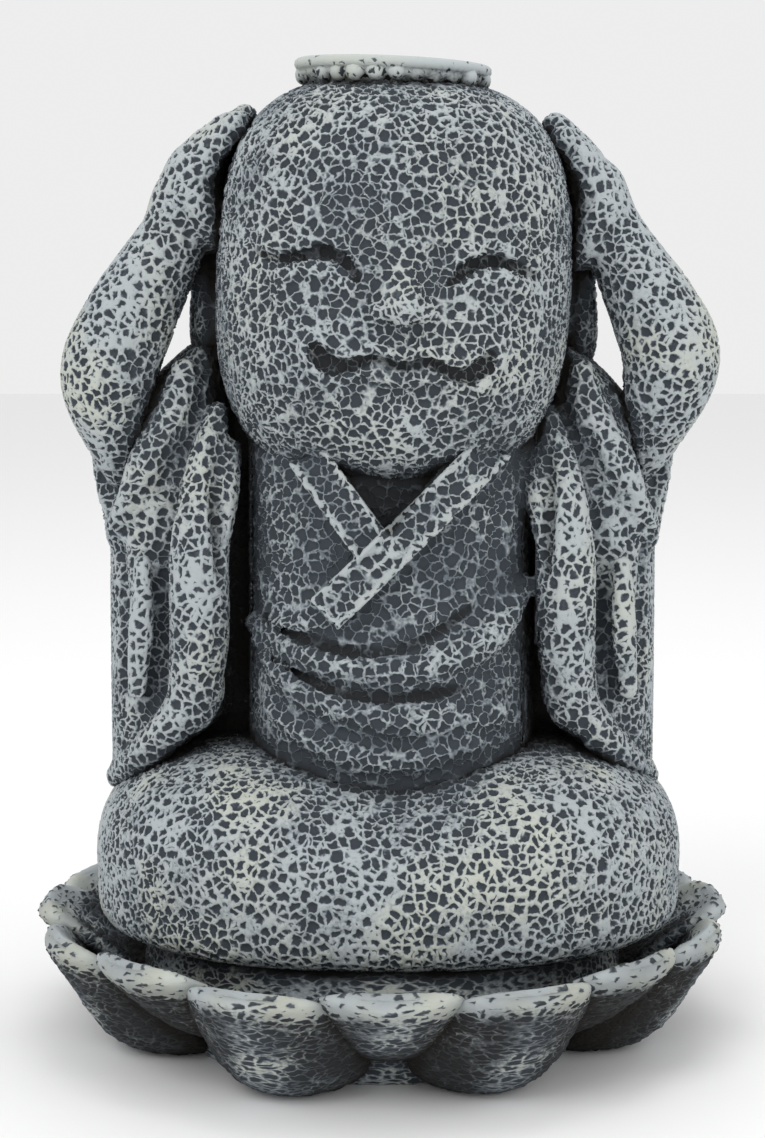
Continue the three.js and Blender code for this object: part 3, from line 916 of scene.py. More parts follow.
@dataclass(frozen=True)
class StoneFinish:
    """One finish of the casting: its pitting and how far the pale paint covers it."""

    name: str
    pits: Pitting
    cover: float = 0.5
    cream: float = 0.35
    pit_colour: str = "3a4046"
    body_colour: str = "666e75"
    ridge_colour: str = "a9b0b3"
    cream_colour: str = "c3c5b5"
    # near-black colour of the painted shade in sunken places and carved grooves
    painted_shade_colour: str = "1f1d1b"

    def material(self, pits: bpy.types.NodeTree, brush: bpy.types.NodeTree) -> bpy.types.Material:
        """Builds the material.

        Args:
            pits: the shared pit pattern.
            brush: the shared dry-brush effect.

        Returns:
            The material, with one Principled shader.
        """
        made = bpy.data.materials.new(self.name)
        made.use_nodes = True
        graph = Graph(made.node_tree)
        shader = made.node_tree.nodes["Principled BSDF"]
        reads = {name: graph.node("ShaderNodeAttribute", attribute_name=name) for name in (SKIN, EXPOSED, SUNKEN)}
        skin = reads[SKIN].outputs["Vector"]
        pattern = graph.node("ShaderNodeGroup", node_tree=pits)
        painted = graph.node("ShaderNodeGroup", node_tree=brush)
        for name, value in pit_values(self.pits).items():
            graph.put(pattern.inputs[name], value)
        for node in (pattern, painted):
            graph.put(node.inputs["Skin"], skin)
            graph.put(node.inputs["Exposed"], reads[EXPOSED].outputs["Fac"])
        graph.put(painted.inputs["Pits"], pattern.outputs["Pits"])
        graph.put(painted.inputs["Grain"], pattern.outputs["Grain"])
        graph.put(painted.inputs["Sunken"], reads[SUNKEN].outputs["Fac"])
        graph.put(painted.inputs["Cover"], self.cover)
        graph.put(painted.inputs["Cream"], self.cream)
        for socket, code in (
            ("Pit Colour", self.pit_colour),
            ("Body Colour", self.body_colour),
            ("Ridge Colour", self.ridge_colour),
            ("Cream Colour", self.cream_colour),
            ("Painted Shade Colour", self.painted_shade_colour),
        ):
            graph.put(painted.inputs[socket], tint(code))
        bump = graph.node("ShaderNodeBump")
        graph.put(bump.inputs["Strength"], 0.55)
        graph.put(bump.inputs["Distance"], 0.0005)
        graph.put(bump.inputs["Height"], painted.outputs["Height"])
        graph.put(shader.inputs["Base Color"], painted.outputs["Colour"])
        graph.put(shader.inputs["Roughness"], painted.outputs["Polish"])
        graph.put(shader.inputs["Normal"], bump.outputs[0])
        shader.inputs["Specular IOR Level"].default_value = 0.25
        return made


class Finishes:
    """All finishes of the casting, with the trees that they share."""

    def __init__(self) -> None:
        """Builds the shared trees."""
        self.pits = pit_group()
        self.brush = brush_group()
        self.relief = ReliefTree()
        self.ring = RingTree()

    def dress(
        self,
        piece: bpy.types.Object,
        finish: StoneFinish,
        shelter_map: ShelterMap,
        cuts: Sequence[Form] = (),
        rims: Sequence[Form] = (),
    ) -> bpy.types.Object:
        """Marks, pits and paints a piece, and gives it its place in the frame.

        Args:
            piece: the plain form.
            finish: what it is finished in.
            shelter_map: how exposed each place is.
            cuts: forms carved out of the piece.
            rims: raised edges that the brush catches.

        Returns:
            The finished piece.
        """
        shelter_map.mark(piece, cuts, rims)
        self.relief.press(piece, finish.pits, finish.material(self.pits, self.brush))
        self.keep_inside(piece)
        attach(piece, BODY)
        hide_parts(NODE)
        LOG.info("%s: %d vertices", piece.name, len(piece.data.vertices))
        return piece

    @staticmethod
    def keep_inside(piece: bpy.types.Object) -> None:
        """Holds a piece inside the box of the solid that it dresses."""
        points = np.empty(len(piece.data.vertices) * 3, np.float32)
        piece.data.vertices.foreach_get("co", points)
        low, high = (np.array(corner, np.float32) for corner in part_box(NODE))
        points = np.clip(points.reshape(-1, 3), low, high)
        piece.data.vertices.foreach_set("co", points.ravel())
        piece.data.update()


# ---------------------------------------------------------------- head, face, ears and dish


@dataclass
class Head:
    """The large round head with its smiling face and long ears."""

    centre: Point = (2.9, -8.0, 196.0)
    half_width: float = 45.0
    half_depth: float = 43.0
    rise: float = 49.5
    drop: float = 54.0
    lean: float = 2.5
    pitch: float = 0.64
    finish: StoneFinish = StoneFinish("head_stone", Pitting(), cover=0.3)
    clay: Clay | None = None

    def reach(self, x: Array, y: Array, z: Array) -> Array:
        """How far the skin lies from the centre in a direction of unit length."""
        high = np.where(z > 0, self.rise, self.drop)
        flat = np.abs(x / self.half_width) ** 2.3 + np.abs(y / self.half_depth) ** 2.3
        base = (flat ** (2.9 / 2.3) + np.abs(z / high) ** 2.9) ** (-1 / 2.9)
        front = np.maximum(0, -y)
        sides = bell(x - 0.48, 0.28) + bell(x + 0.48, 0.28)
        cheeks = 0.05 * bell(z + 0.4, 0.3) * sides
        sockets = 0.045 * bell(z - 0.1, 0.15) * (bell(x - 0.4, 0.28) + bell(x + 0.4, 0.28))
        chin = 0.05 * bell(x, 0.2) * bell(z + 0.74, 0.13) - 0.035 * bell(x, 0.28) * bell(z + 0.55, 0.1)
        return base * (1 + front * (cheeks - sockets + chin))

    def mass(self, x: Array, y: Array, z: Array) -> Array:
        """Distance to the head's own skin."""
        u, w = leaned(x - self.centre[0], z - self.centre[2], self.lean)
        v = y - self.centre[1]
        away = np.maximum(np.sqrt(u * u + v * v + w * w), 1e-3)
        return away - self.reach(u / away, v / away, w / away)

    def placed(self, x: float, y: float, z: float) -> Point:
        """A place given from the head's centre, in the statue's frame."""
        c, s = math.cos(math.radians(self.lean)), math.sin(math.radians(self.lean))
        return (self.centre[0] + c * x + s * z, self.centre[1] + y, self.centre[2] - s * x + c * z)

    def on_face(self, x: float, z: float) -> Point:
        """The place on the face in front of x and z, from the head's centre."""
        y = -self.half_depth
        for _ in range(12):
            away = math.sqrt(x * x + y * y + z * z)
            y = y / away * float(self.reach(np.float64(x / away), np.float64(y / away), np.float64(z / away)))
        return x, y, z

    def line(self, spots: Sequence[Spot], lift: float) -> Limb:
        """A limb laid on the face through [x, z, radius], raised by lift radii."""
        stations = []
        for x, z, radius in spots:
            _, y, _ = self.on_face(x, z)
            stations.append((*self.placed(x, y - radius * lift, z), radius))
        return Limb(stations)

    def beside(self, side: Side, forward: float, up: float, out: float) -> Point:
        """A place over the side of the head, by degrees forward and up and mm off the skin."""
        ahead, above = math.radians(forward), math.radians(up)
        x = side.value * math.cos(ahead) * math.cos(above)
        y, z = -math.sin(ahead) * math.cos(above), math.sin(above)
        away = float(self.reach(np.float64(x), np.float64(y), np.float64(z))) + out
        return self.placed(x * away, y * away, z * away)

    def eyes(self) -> tuple[list[Form], list[Form]]:
        """The closed lids to raise, and the smiling arcs under the brows to carve."""
        lids = [
            self.line([(-27, -1.5, 2.0), (-21, 0.4, 3.2), (-15, -0.2, 2.8), (-11, -3.2, 1.8)], -0.3),
            self.line([(15.5, -3, 1.8), (20, -0.6, 2.8), (25.5, 0.2, 3.2), (31, -1.6, 2.0)], -0.3),
            self.line([(-31, 6.8, 1.2), (-23, 6.8, 2.0), (-16, 8.6, 1.8), (-9, 3.6, 1.2)], -0.35),
            self.line([(14, 3.2, 1.2), (20.5, 7.6, 1.8), (27, 7.6, 2.0), (34, 4.6, 1.2)], -0.35),
        ]
        arcs = [
            self.line([(-34, 4.6, 0.5), (-28.5, 3.0, 0.9), (-22, 3.6, 1.1), (-16.5, 5.2, 1.2), (-12, 3.2, 1.0),
                       (-8.8, -0.8, 0.6)], 0.0),
            self.line([(13.4, -0.8, 0.6), (17, 2.6, 1.1), (21.5, 4.6, 1.2), (26.5, 4.0, 1.1), (31, 2.6, 0.9),
                       (34.6, 1.6, 0.5)], 0.0),
        ]
        return lids, arcs

    def nose(self) -> tuple[list[Form], list[Form]]:
        """The bridge, ball and wings to raise, and the nostrils to carve."""
        x, y, z = self.on_face(2.2, -7)
        bridge = [(x - 0.6, y + 4.2, z + 15, 2.6), (x - 0.4, y + 2.4, z + 8, 3.4), (x, y - 0.6, z + 1.2, 4.8)]
        raised: list[Form] = [Limb([(*self.placed(*p[:3]), p[3]) for p in bridge])]
        raised.append(Egg(self.placed(x, y - 1.6, z - 0.6), (4.6, 4.2, 4.0)))
        raised += [Egg(self.placed(x + s * 4.9, y + 0.6, z - 1.2), (3.3, 3.6, 2.9)) for s in (-1, 1)]
        holes = [Egg(self.placed(x + s * 3.4, y - 2.6, z - 4.6), (1.5, 2.0, 1.0)) for s in (-1, 1)]
        return raised, holes

    def mouth(self) -> tuple[list[Form], list[Form]]:
        """The lips and cheek folds to raise, and the smile to carve."""
        groove = self.line([(-18.4, -17.6, 0.9), (-16.8, -19.8, 2.1), (-13.0, -22.0, 2.0), (-8, -20.8, 1.1),
                            (-4, -19.6, 0.9), (2.4, -21.2, 0.8), (8.4, -19.8, 0.9), (13.4, -21.8, 1.1),
                            (18, -23.0, 2.0), (22, -20.4, 2.1), (23.6, -17.8, 0.9)], 0.0)
        lips = [
            self.line([(-12, -19.2, 1.0), (-7.6, -17.8, 1.7), (-3, -16.6, 2.1), (2.4, -18.4, 1.8), (7.6, -16.8, 2.1),
                       (12.4, -18.4, 1.7), (17, -20.2, 1.0)], -0.1),
            self.line([(-7, -22.8, 1.0), (-2.4, -23.6, 1.9), (2.6, -24.6, 2.3), (7.6, -23.8, 1.9),
                       (12, -23.4, 1.0)], -0.15),
            self.line([(-20.6, -15, 1.6), (-19.6, -20, 2.4), (-16, -25, 2.2)], -0.5),
            self.line([(25.4, -15, 1.6), (24.8, -20, 2.4), (21.4, -25.6, 2.2)], -0.5),
        ]
        return lips, [groove]

    def ear(self, side: Side) -> tuple[list[Form], list[Form]]:
        """A long-lobed ear to add and its hollow to carve."""
        x = self.centre[0] + side.value * 47.0
        rim = Limb([(x, -3, 172, 3.6), (x + side.value, -5.5, 184, 2.8), (x + side.value * 1.5, -3, 200, 2.8),
                    (x + side.value, 5, 205, 3.0), (x, 10, 198, 2.8)])
        return [Egg((x, 3, 186), (6.0, 9, 21)), rim], [Egg((x + side.value * 6, -1, 190), (4, 4, 8))]

    def shape(self) -> Clay:
        """Models the head with its face and ears."""
        clay = Clay((-54, -60, 138), (62, 38, 252), self.pitch)
        clay.add([Mass((-50, -58, 139), (58, 38, 250), self.mass)], 0)
        lids, arcs = self.eyes()
        raised, holes = self.nose()
        lips, smile = self.mouth()
        clay.add(lids, 2.5)
        clay.add(raised[:1], 3.5)
        clay.add(raised[1:], 1.6)
        clay.add(lips, 1.8)
        clay.cut(smile, 1.0)
        clay.cut(arcs, 0.7)
        clay.cut(holes, 0.8)
        x, y, z = self.on_face(1.4, 29.5)
        clay.add([Egg(self.placed(x, y, z), (2.4, 1.9, 2.6))], 0.6)
        for side in Side:
            flesh, hollow = self.ear(side)
            clay.add(flesh, 2.0)
            clay.cut(hollow, 1.5)
        clay.cut([Mass((-19, -30, 240), (25, 14, 252), self.dish_hollow)], 0.2)
        clay.cuts.pop()
        self.clay = clay
        return clay

    def dish_hollow(self, x: Array, y: Array, z: Array) -> Array:
        """Distance to the room kept free for the dish's hollow."""
        u, w = leaned(x - 2.7, z - 248.9, self.lean)
        return np.maximum(np.sqrt(u * u + (y + 8) ** 2) - 21.5, -6.6 - w)

    def build(self, finishes: Finishes, shelter_map: ShelterMap) -> None:
        """Skins and dresses the head."""
        finishes.dress(new_piece("head", *self.clay.skin()), self.finish, shelter_map, self.clay.cuts)


@dataclass
class Dish:
    """The shallow round dish on the crown, with a row of beads under its rim."""

    centre: Point = (2.7, -8.0, 248.9)
    radius: float = 25.3
    recess_radius: float = 20.0
    recess_depth: float = 5.5
    lean: float = 2.5
    beads: int = 28
    bead_radius: float = 2.7
    steps: int = 220
    finish: StoneFinish = StoneFinish(
        "dish_stone",
        Pitting(size=2.2, ridge=0.24, slope=0.16, depth=0.3, fine=0.06, patchy=0.3),
        cover=0.62,
        cream=0.5,
        ridge_colour="b3babb",
    )

    def profile(self) -> list[tuple[float, float]]:
        """Half section of the dish, from the underside round the rim to the middle of its floor."""
        r, inner, deep = self.radius - 0.5, self.recess_radius, self.recess_depth
        corners = [(0, -11), (r - 8, -11), (r - 3, -5.2), (r - 1.7, -4.2), (r - 1.5, -3.0), (r - 0.5, -2.6),
                   (r, -1.7), (r - 0.1, -0.7), (r - 0.8, -0.1), (r - 1.8, 0), (inner + 0.7, 0), (inner, -0.5),
                   (inner - 1, -deep + 0.8), (inner - 1.8, -deep), (0, -deep)]
        return moved(corners, 0.7)

    def place(self, piece: bpy.types.Object) -> None:
        """Leans a part of the dish and sets it on the crown, in its mesh."""
        spot = Matrix.Translation(Vector(self.centre) * MM) @ Matrix.Rotation(math.radians(self.lean), 4, "Y")
        piece.data.transform(spot)
        count = len(piece.data.vertices)
        points = np.empty(count * 3, np.float32)
        piece.data.vertices.foreach_get("co", points)
        write_vectors(piece.data, SKIN, points)

    def cloud(self) -> Array:
        """Points through the dish's thickness."""
        grid = np.stack(np.meshgrid(*[np.arange(-26, 26.1, 1.0)] * 2, np.arange(-11, 0, 1.0)), -1).reshape(-1, 3)
        away = np.hypot(grid[:, 0], grid[:, 1])
        kept = grid[(away < self.radius) & ((away > self.recess_radius) | (grid[:, 2] < -self.recess_depth))]
        return kept + np.array(self.centre)

    def build(self, finishes: Finishes, shelter_map: ShelterMap) -> None:
        """Turns the dish, sets its beads and dresses both."""
        disc = new_piece("dish", *turned_profile(self.profile(), self.steps))
        self.place(disc)
        finishes.dress(disc, self.finish, shelter_map)
        angle = np.linspace(0, math.pi, 12)
        ball = [(self.bead_radius * math.sin(a), -self.bead_radius * math.cos(a)) for a in angle]
        points, faces = turned_profile(ball, 16)
        points = points * np.array([1.0, 0.8, 0.95]) + np.array([0, -(self.radius - 2.3), -3.9])
        beads = new_piece("dish_beads", points, faces)
        finishes.ring.lay(beads, self.beads, 2.0, 0.9, 5)
        self.place(beads)
        finishes.dress(beads, self.finish, shelter_map)


# ---------------------------------------------------------------- arms


ARM_LINES: dict[Side, list[Station]] = {
    Side.LEFT: [(-60, 2, 140, 8), (-66.8, -9, 156, 9.4), (-69, -13, 171, 12.4), (-64, -13, 184.5, 11.8),
                (-58.5, -11, 195, 10.4), (-52.5, -10, 206, 8.8), (-50, -10, 216, 7.6), (-45, -10, 226, 5.6),
                (-39.5, -9, 232.8, 3.6)],
    Side.RIGHT: [(60, 2, 143, 8), (69, -9, 160, 9.6), (72.8, -13, 175, 12.4), (68.6, -13, 187, 11.4),
                 (63.8, -11, 196, 9.8), (58.3, -10, 206, 8.2), (54, -10, 216, 7.2), (49, -10, 225.5, 5.4),
                 (43.5, -9, 233, 3.6)],
}


@dataclass
class Arm:
    """One forearm with the hand laid flat along the head."""

    side: Side
    head: Head
    fingers: tuple[Spot, ...] = ((8, 41, 4.0), (-1, 44, 4.2), (-10, 43, 4.2), (-19, 38, 3.8))
    finish: StoneFinish = StoneFinish(
        "arm_stone", Pitting(size=2.5, ridge=0.05, slope=0.15, patchy=0.26), cover=0.36, cream=0.55
    )
    clay: Clay | None = None

    def digits(self) -> list[Form]:
        """The thumb and four fingers."""
        side, over = self.side, self.head.beside
        made: list[Form] = [Limb([
            (*over(side, forward * 0.9, 20, 8.0), radius + 0.8),
            (*over(side, forward * 1.1, 33, 4.8), radius),
            (*over(side, forward * 1.3, up, 2.2), radius - 0.8),
        ]) for forward, up, radius in self.fingers]
        made.append(Limb([(*over(side, -14, 6, 7), 4.6), (*over(side, -27, 10, 4), 3.8), (*over(side, -34, 18, 2), 3.0)]))
        return made

    def shape(self) -> Clay:
        """Models the arm."""
        low, high = sorted((self.side.value * 22.0, self.side.value * 90.0))
        clay = Clay((low, -48, 128), (high, 32, 244), 0.62)
        clay.add([Limb(ARM_LINES[self.side], 10)], 0)
        palm = Egg(self.head.beside(self.side, 0, 18, 5), (6.2, 13.5, 14), 22 * self.side.value)
        clay.add([palm], 3.0)
        clay.add(self.digits(), 2.2)
        knuckles = ((9, 20, 7.0), (10, 27, 5.2), (11, 34, 3.8), (12, 40, 2.6))
        clay.add([Egg(self.head.beside(self.side, f, up, out), (3.2, 3.4, 3.4)) for f, up, out in knuckles], 1.4)
        self.clay = clay
        return clay

    def build(self, finishes: Finishes, shelter_map: ShelterMap) -> None:
        """Skins and dresses the arm."""
        name = f"arm_{self.side.name.lower()}"
        finishes.dress(new_piece(name, *self.clay.skin()), self.finish, shelter_map)


# ---------------------------------------------------------------- robe


@dataclass
class Robe:
    """The robe: chest with crossed collar, waist folds, plain back and two hanging sleeves."""

    centre_x: float = 2.2
    half_width: float = 37.0
    front_reach: float = 41.0
    back_reach: float = 28.0
    band_width: float = 9.6
    pitch: float = 0.72
    seam_at: float = 38.0
    bands: tuple[tuple[tuple[float, float], tuple[float, float], float], ...] = (
        ((-19.0, 153.0), (0.0, 127.5), 2.2),
        ((28.0, 155.0), (-13.8, 114.7), 3.6),
    )
    chest: StoneFinish = StoneFinish(
        "chest_stone", Pitting(size=2.8, ridge=0.015, slope=0.11, wander=0.8), cover=0.16, cream=0.2
    )
    sleeves: StoneFinish = StoneFinish(
        "sleeve_stone", Pitting(size=2.6, ridge=0.04, slope=0.15, patchy=0.26), cover=0.3, cream=0.4
    )
    clay: Clay | None = None

    def front(self, x: Array, z: Array) -> Array:
        """How far the front of the torso reaches towards -Y."""
        belly = 4 * bell(z - 86, 26) - 4 * bell(z - 168, 24)
        side = np.minimum(1, np.abs(x - self.centre_x) / self.half_width)
        return (self.front_reach + belly) * (1 - side**2.6) ** (1 / 2.6)

    def torso(self, x: Array, y: Array, z: Array) -> Array:
        """Distance to the trunk."""
        belly = 4 * bell(z - 86, 26) - 4 * bell(z - 168, 24)
        deep = np.where(y < 0, self.front_reach + belly, self.back_reach)
        share = (np.abs((x - self.centre_x) / self.half_width) ** 2.6 + np.abs(y / deep) ** 2.6) ** (1 / 2.6)
        return soft_max((share - 1) * self.half_width, np.abs(z - 112) - 60, 4)

    @staticmethod
    def back(x: Array, y: Array, z: Array) -> Array:
        """Distance to the shoulders and the plain back."""
        heights = (48, 80, 115, 140, 156, 166, 172)
        wide = 64 * track(heights, (0.98, 0.97, 0.96, 0.93, 0.86, 0.7, 0.42), z)
        deep = 25 * track(heights, (1.1, 1.0, 0.96, 0.94, 0.84, 0.68, 0.45), z)
        share = (np.abs((x - 1) / wide) ** 2.5 + np.abs((y - 15) / deep) ** 2.5) ** (1 / 2.5)
        return soft_max((share - 1) * deep, np.abs(z - 110) - 62, 6)

    @staticmethod
    def sleeve(side: Side) -> Callable[[Array, Array, Array], Array]:
        """The rule of one hanging sleeve, domed over the upper arm."""

        def rule(x: Array, y: Array, z: Array) -> Array:
            """Distance to the sleeve."""
            out = x * side.value
            inward = np.clip(71.5 - out, 0, 34)
            hem, top = 63 + inward * 0.65, 159 + inward * 0.9
            share = (z - hem) / (top - hem)
            size = track((0, 0.3, 0.6, 0.8, 0.92, 0.98, 1), (0.98, 0.98, 0.97, 0.95, 0.84, 0.62, 0.36), share)
            form = (np.abs((out - 54.5) / (17 * size)) ** 2.4 + np.abs((y - 4) / (25 * size)) ** 2.4) ** (1 / 2.4)
            skin = (form - 1) * 17 * size
            return soft_max(soft_max(skin, (hem - z) * 0.84, 3), (z - top) * 0.74, 3)

        return rule

    @staticmethod
    def sleeve_folds(side: Side) -> list[Form]:
        """The raised folds of one sleeve: the mouth's lips, two long folds and the turned hem."""
        folds = [
            [(50, -16, 172, 3.4), (53, -19, 160, 4.6), (59.5, -19, 149, 5), (65.5, -15, 138, 4.4), (68, -9, 130, 3)],
            [(72.6, -6, 158, 2.2), (71.6, -4, 146, 3.0), (68.6, -4, 131, 3)],
            [(41, -18, 162, 3), (44, -23, 148, 5.4), (45.8, -26, 128, 7.4), (46, -25.5, 106, 7.6), (48, -24, 88, 6.2)],
            [(37.5, -20, 153, 2.4), (39.5, -25, 140, 3.6), (43, -27, 122, 2.4)],
            [(46, -23, 92, 6), (54, -24, 82, 5.2), (62, -18, 73, 4.6), (68.5, -8, 67, 3.4)],
            [(60, -24, 124, 2.4), (60.5, -24.5, 108, 3.4), (62, -22, 92, 2.6)],
        ]
        return [Limb([(x * side.value, y, z, r) for x, y, z, r in fold]) for fold in folds]

    @staticmethod
    def valleys(side: Side) -> list[Form]:
        """The deep creases between the folds of one sleeve."""
        creases = [
            [(51, -23, 156, 1.0), (53, -23, 142, 1.7), (54.5, -23, 122, 2.0), (56, -22, 104, 1.6), (60, -20, 92, 1.0)],
            [(40.6, -26, 154, 1.0), (41.2, -29, 140, 1.4), (40.5, -30, 124, 1.2)],
            [(66.5, -14, 126, 0.8), (66, -16, 108, 1.2), (65.5, -15, 92, 0.8)],
        ]
        return [Limb([(x * side.value, y, z, r) for x, y, z, r in crease]) for crease in creases]

    def band(self, start: tuple[float, float], end: tuple[float, float], rise: float) -> Mass:
        """A flat collar band laid over the chest between two places [x, z]."""
        run = np.array(end, float) - np.array(start, float)
        length = float(np.hypot(*run))
        u = run / length

        def rule(x: Array, y: Array, z: Array) -> Array:
            """Distance to the band."""
            dx, dz = x - start[0], z - start[1]
            along = np.abs(dx * u[0] + dz * u[1] - length / 2) - length / 2
            across = np.abs(dz * u[0] - dx * u[1]) - self.band_width / 2
            out = -y - self.front(x, z)
            hollow = 0.9 * bell(np.maximum(np.abs(across + self.band_width / 2), 0), 3.2)
            high = np.abs(out - (rise - hollow - 4) / 2) - (rise - hollow + 4) / 2
            return soft_max(soft_max(along, across, 0.6), high, 1.2)

        xs, zs = sorted((start[0], end[0])), sorted((start[1], end[1]))
        return Mass((xs[0] - 6, -52, zs[0] - 6), (xs[1] + 6, -25, zs[1] + 6), rule)

    def edges(self) -> list[Form]:
        """The thin raised borders of both collar bands."""
        made: list[Form] = []
        for start, end, rise in self.bands:
            a, b = np.array(start, float), np.array(end, float)
            u = (b - a) / float(np.hypot(*(b - a)))
            across = np.array([-u[1], u[0]]) * (self.band_width / 2 - 0.5)
            lines = [(a + across, b + across), (a - across, b - across), (b + across, b - across)]
            for first, last in lines:
                spots = [first + (last - first) * t for t in np.linspace(0, 1, 5)]
                made.append(Limb([
                    (x, -float(self.front(np.float64(x), np.float64(z))) - rise + 0.1, z, 0.75) for x, z in spots
                ], 2))
        return made

    def fold(self, spots: Sequence[Spot], lift: float = -0.3) -> Limb:
        """A soft fold laid on the belly through [x, z, radius]."""
        stations = []
        for x, z, radius in spots:
            out = float(self.front(np.float64(x), np.float64(z)))
            stations.append((x, -out - radius * lift, z, radius))
        return Limb(stations)

    def waist(self) -> tuple[list[Form], list[Form]]:
        """The folds across the belly to raise, and the shadow lines over them to carve."""
        raised = [
            self.fold([(-11, 112.5, 2), (-22, 111, 2.4), (-33, 108.5, 2.2)]),
            self.fold([(-32, 109, 2.2), (-18, 103.5, 3.2), (-3, 100.5, 3.8), (13, 102, 4.8), (27, 109.5, 5), (35, 119, 3)]),
            self.fold([(-31, 105, 2), (-22, 96, 3.4), (-8, 90.5, 4.2), (8, 88, 4.4), (28, 88.5, 3)]),
            self.fold([(-28, 90, 1.8), (-20, 84, 2.6), (-8, 79.5, 3.4), (8, 79, 3.4), (22, 82, 2.4)]),
        ]
        carved = [
            self.fold([(-30, 111.6, 0.6), (-20, 108.0, 0.9), (-6, 105.2, 0.9), (8, 107.2, 0.8), (22, 115, 0.7)], 0.2),
            self.fold([(-27, 101.5, 0.6), (-14, 96.4, 0.9), (2, 94.0, 0.9), (20, 95.6, 0.8)], 0.2),
        ]
        return raised, carved

    def shape(self) -> Clay:
        """Models the robe."""
        clay = Clay((-78, -52, 44), (78, 46, 178), self.pitch)
        clay.add([Mass((-36, -48, 50), (42, 30, 174), self.torso)], 0)
        clay.add([Mass((-66, -12, 48), (68, 44, 174), self.back)], 3)
        neck = [(-19.0, 162.0), (22.0, 162.0), (2.0, 133.0)]
        clay.cut([Mass((-20, -50, 131), (24, -32, 166), self.wedge(neck))], 0.8)
        raised, carved = self.waist()
        clay.add(raised, 2.2)
        clay.cut(carved, 1.2)
        for start, end, rise in self.bands:
            clay.add([self.band(start, end, rise)], 0.4)
        clay.add(self.edges(), 0.5)
        for side in Side:
            low, high = sorted((side.value * 36.0, side.value * 74.0))
            clay.add([Mass((low, -28, 60), (high, 32, 178), self.sleeve(side))], 5)
            clay.add(self.sleeve_folds(side), 2.4)
            clay.cut([Egg((71 * side.value, -15, 146), (6, 8, 14), -20 * side.value)], 2.5)
            clay.cut(self.valleys(side), 3.0)
        self.clay = clay
        return clay

    @staticmethod
    def wedge(corners: Sequence[tuple[float, float]]) -> Callable[[Array, Array, Array], Array]:
        """The rule of the open neck between the collar bands, given by three corners [x, z]."""

        def rule(x: Array, y: Array, z: Array) -> Array:
            """Distance to the wedge."""
            result = y + 34
            for (ax, az), (bx, bz) in zip(corners, [*corners[1:], corners[0]]):
                nx, nz = bz - az, ax - bx
                size = math.hypot(nx, nz)
                result = np.maximum(result, -((x - ax) * nx + (z - az) * nz) / size)
            return result

        return rule

    def build(self, finishes: Finishes, shelter_map: ShelterMap) -> None:
        """Skins the robe in three parts that dive under each other, and dresses them."""
        at = self.seam_at
        middle = self.clay.limited(lambda x, y, z: np.abs(x - 1) - at - 0 * y - 0 * z, 0.5)
        finishes.dress(new_piece("robe", *middle.skin()), self.chest, shelter_map, self.clay.cuts, self.edges())
        for side in Side:
            part = self.clay.limited(
                lambda x, y, z, s=side.value: at - 4 - (x - 1) * s - 0 * y - 0 * z, 0.5
            )
            name = f"sleeve_{side.name.lower()}"
            finishes.dress(new_piece(name, *part.skin()), self.sleeves, shelter_map, self.clay.cuts)


# ---------------------------------------------------------------- lap


@dataclass
class Lap:
    """Crossed legs under the robe: a broad cushion with two knees and a shallow valley."""

    centre: Point = (1.5, -6.0, 43.0)
    half_width: float = 75.5
    front_reach: float = 60.0
    back_reach: float = 50.0
    rise: float = 34.5
    drop: float = 16.0
    pitch: float = 0.74
    finish: StoneFinish = StoneFinish(
        "lap_stone", Pitting(size=2.5, ridge=0.055, slope=0.15, patchy=0.3), cover=0.32, cream=0.6
    )
    clay: Clay | None = None

    def mass(self, x: Array, y: Array, z: Array) -> Array:
        """Distance to the lap's skin."""
        dx, dy, dz = x - self.centre[0], y - self.centre[1], z - self.centre[2]
        away = np.maximum(np.sqrt(dx * dx + dy * dy + dz * dz), 1e-3)
        dx, dy, dz = dx / away, dy / away, dz / away
        deep = np.where(dy < 0, self.front_reach, self.back_reach)
        high = np.where(dz > 0, self.rise, self.drop)
        boxy = np.where(dz > 0, 3.0, 5.0)
        flat = np.abs(dx / self.half_width) ** 2.3 + np.abs(dy / deep) ** 2.3
        base = (flat ** (boxy / 2.3) + np.abs(dz / high) ** boxy) ** (-1 / boxy)
        side = dx * base / self.half_width
        front = np.maximum(0, -dy * base / self.front_reach)
        above = np.maximum(0, dz * base / self.rise)
        knees = 0.09 * above * (bell(side - 0.58, 0.36) + bell(side + 0.58, 0.36))
        valley = 0.16 * bell(side, 0.3) * front * above
        return (away - base * (1 + knees - valley)) * 0.9

    def shape(self) -> Clay:
        """Models the lap."""
        clay = Clay((-78, -70, 25), (80, 48, 86), self.pitch)
        clay.add([Mass((-78, -70, 25), (80, 48, 86), self.mass)], 0)
        self.clay = clay
        return clay

    def build(self, finishes: Finishes, shelter_map: ShelterMap) -> None:
        """Skins and dresses the lap."""
        finishes.dress(new_piece("lap", *self.clay.skin()), self.finish, shelter_map)


# ---------------------------------------------------------------- lotus base


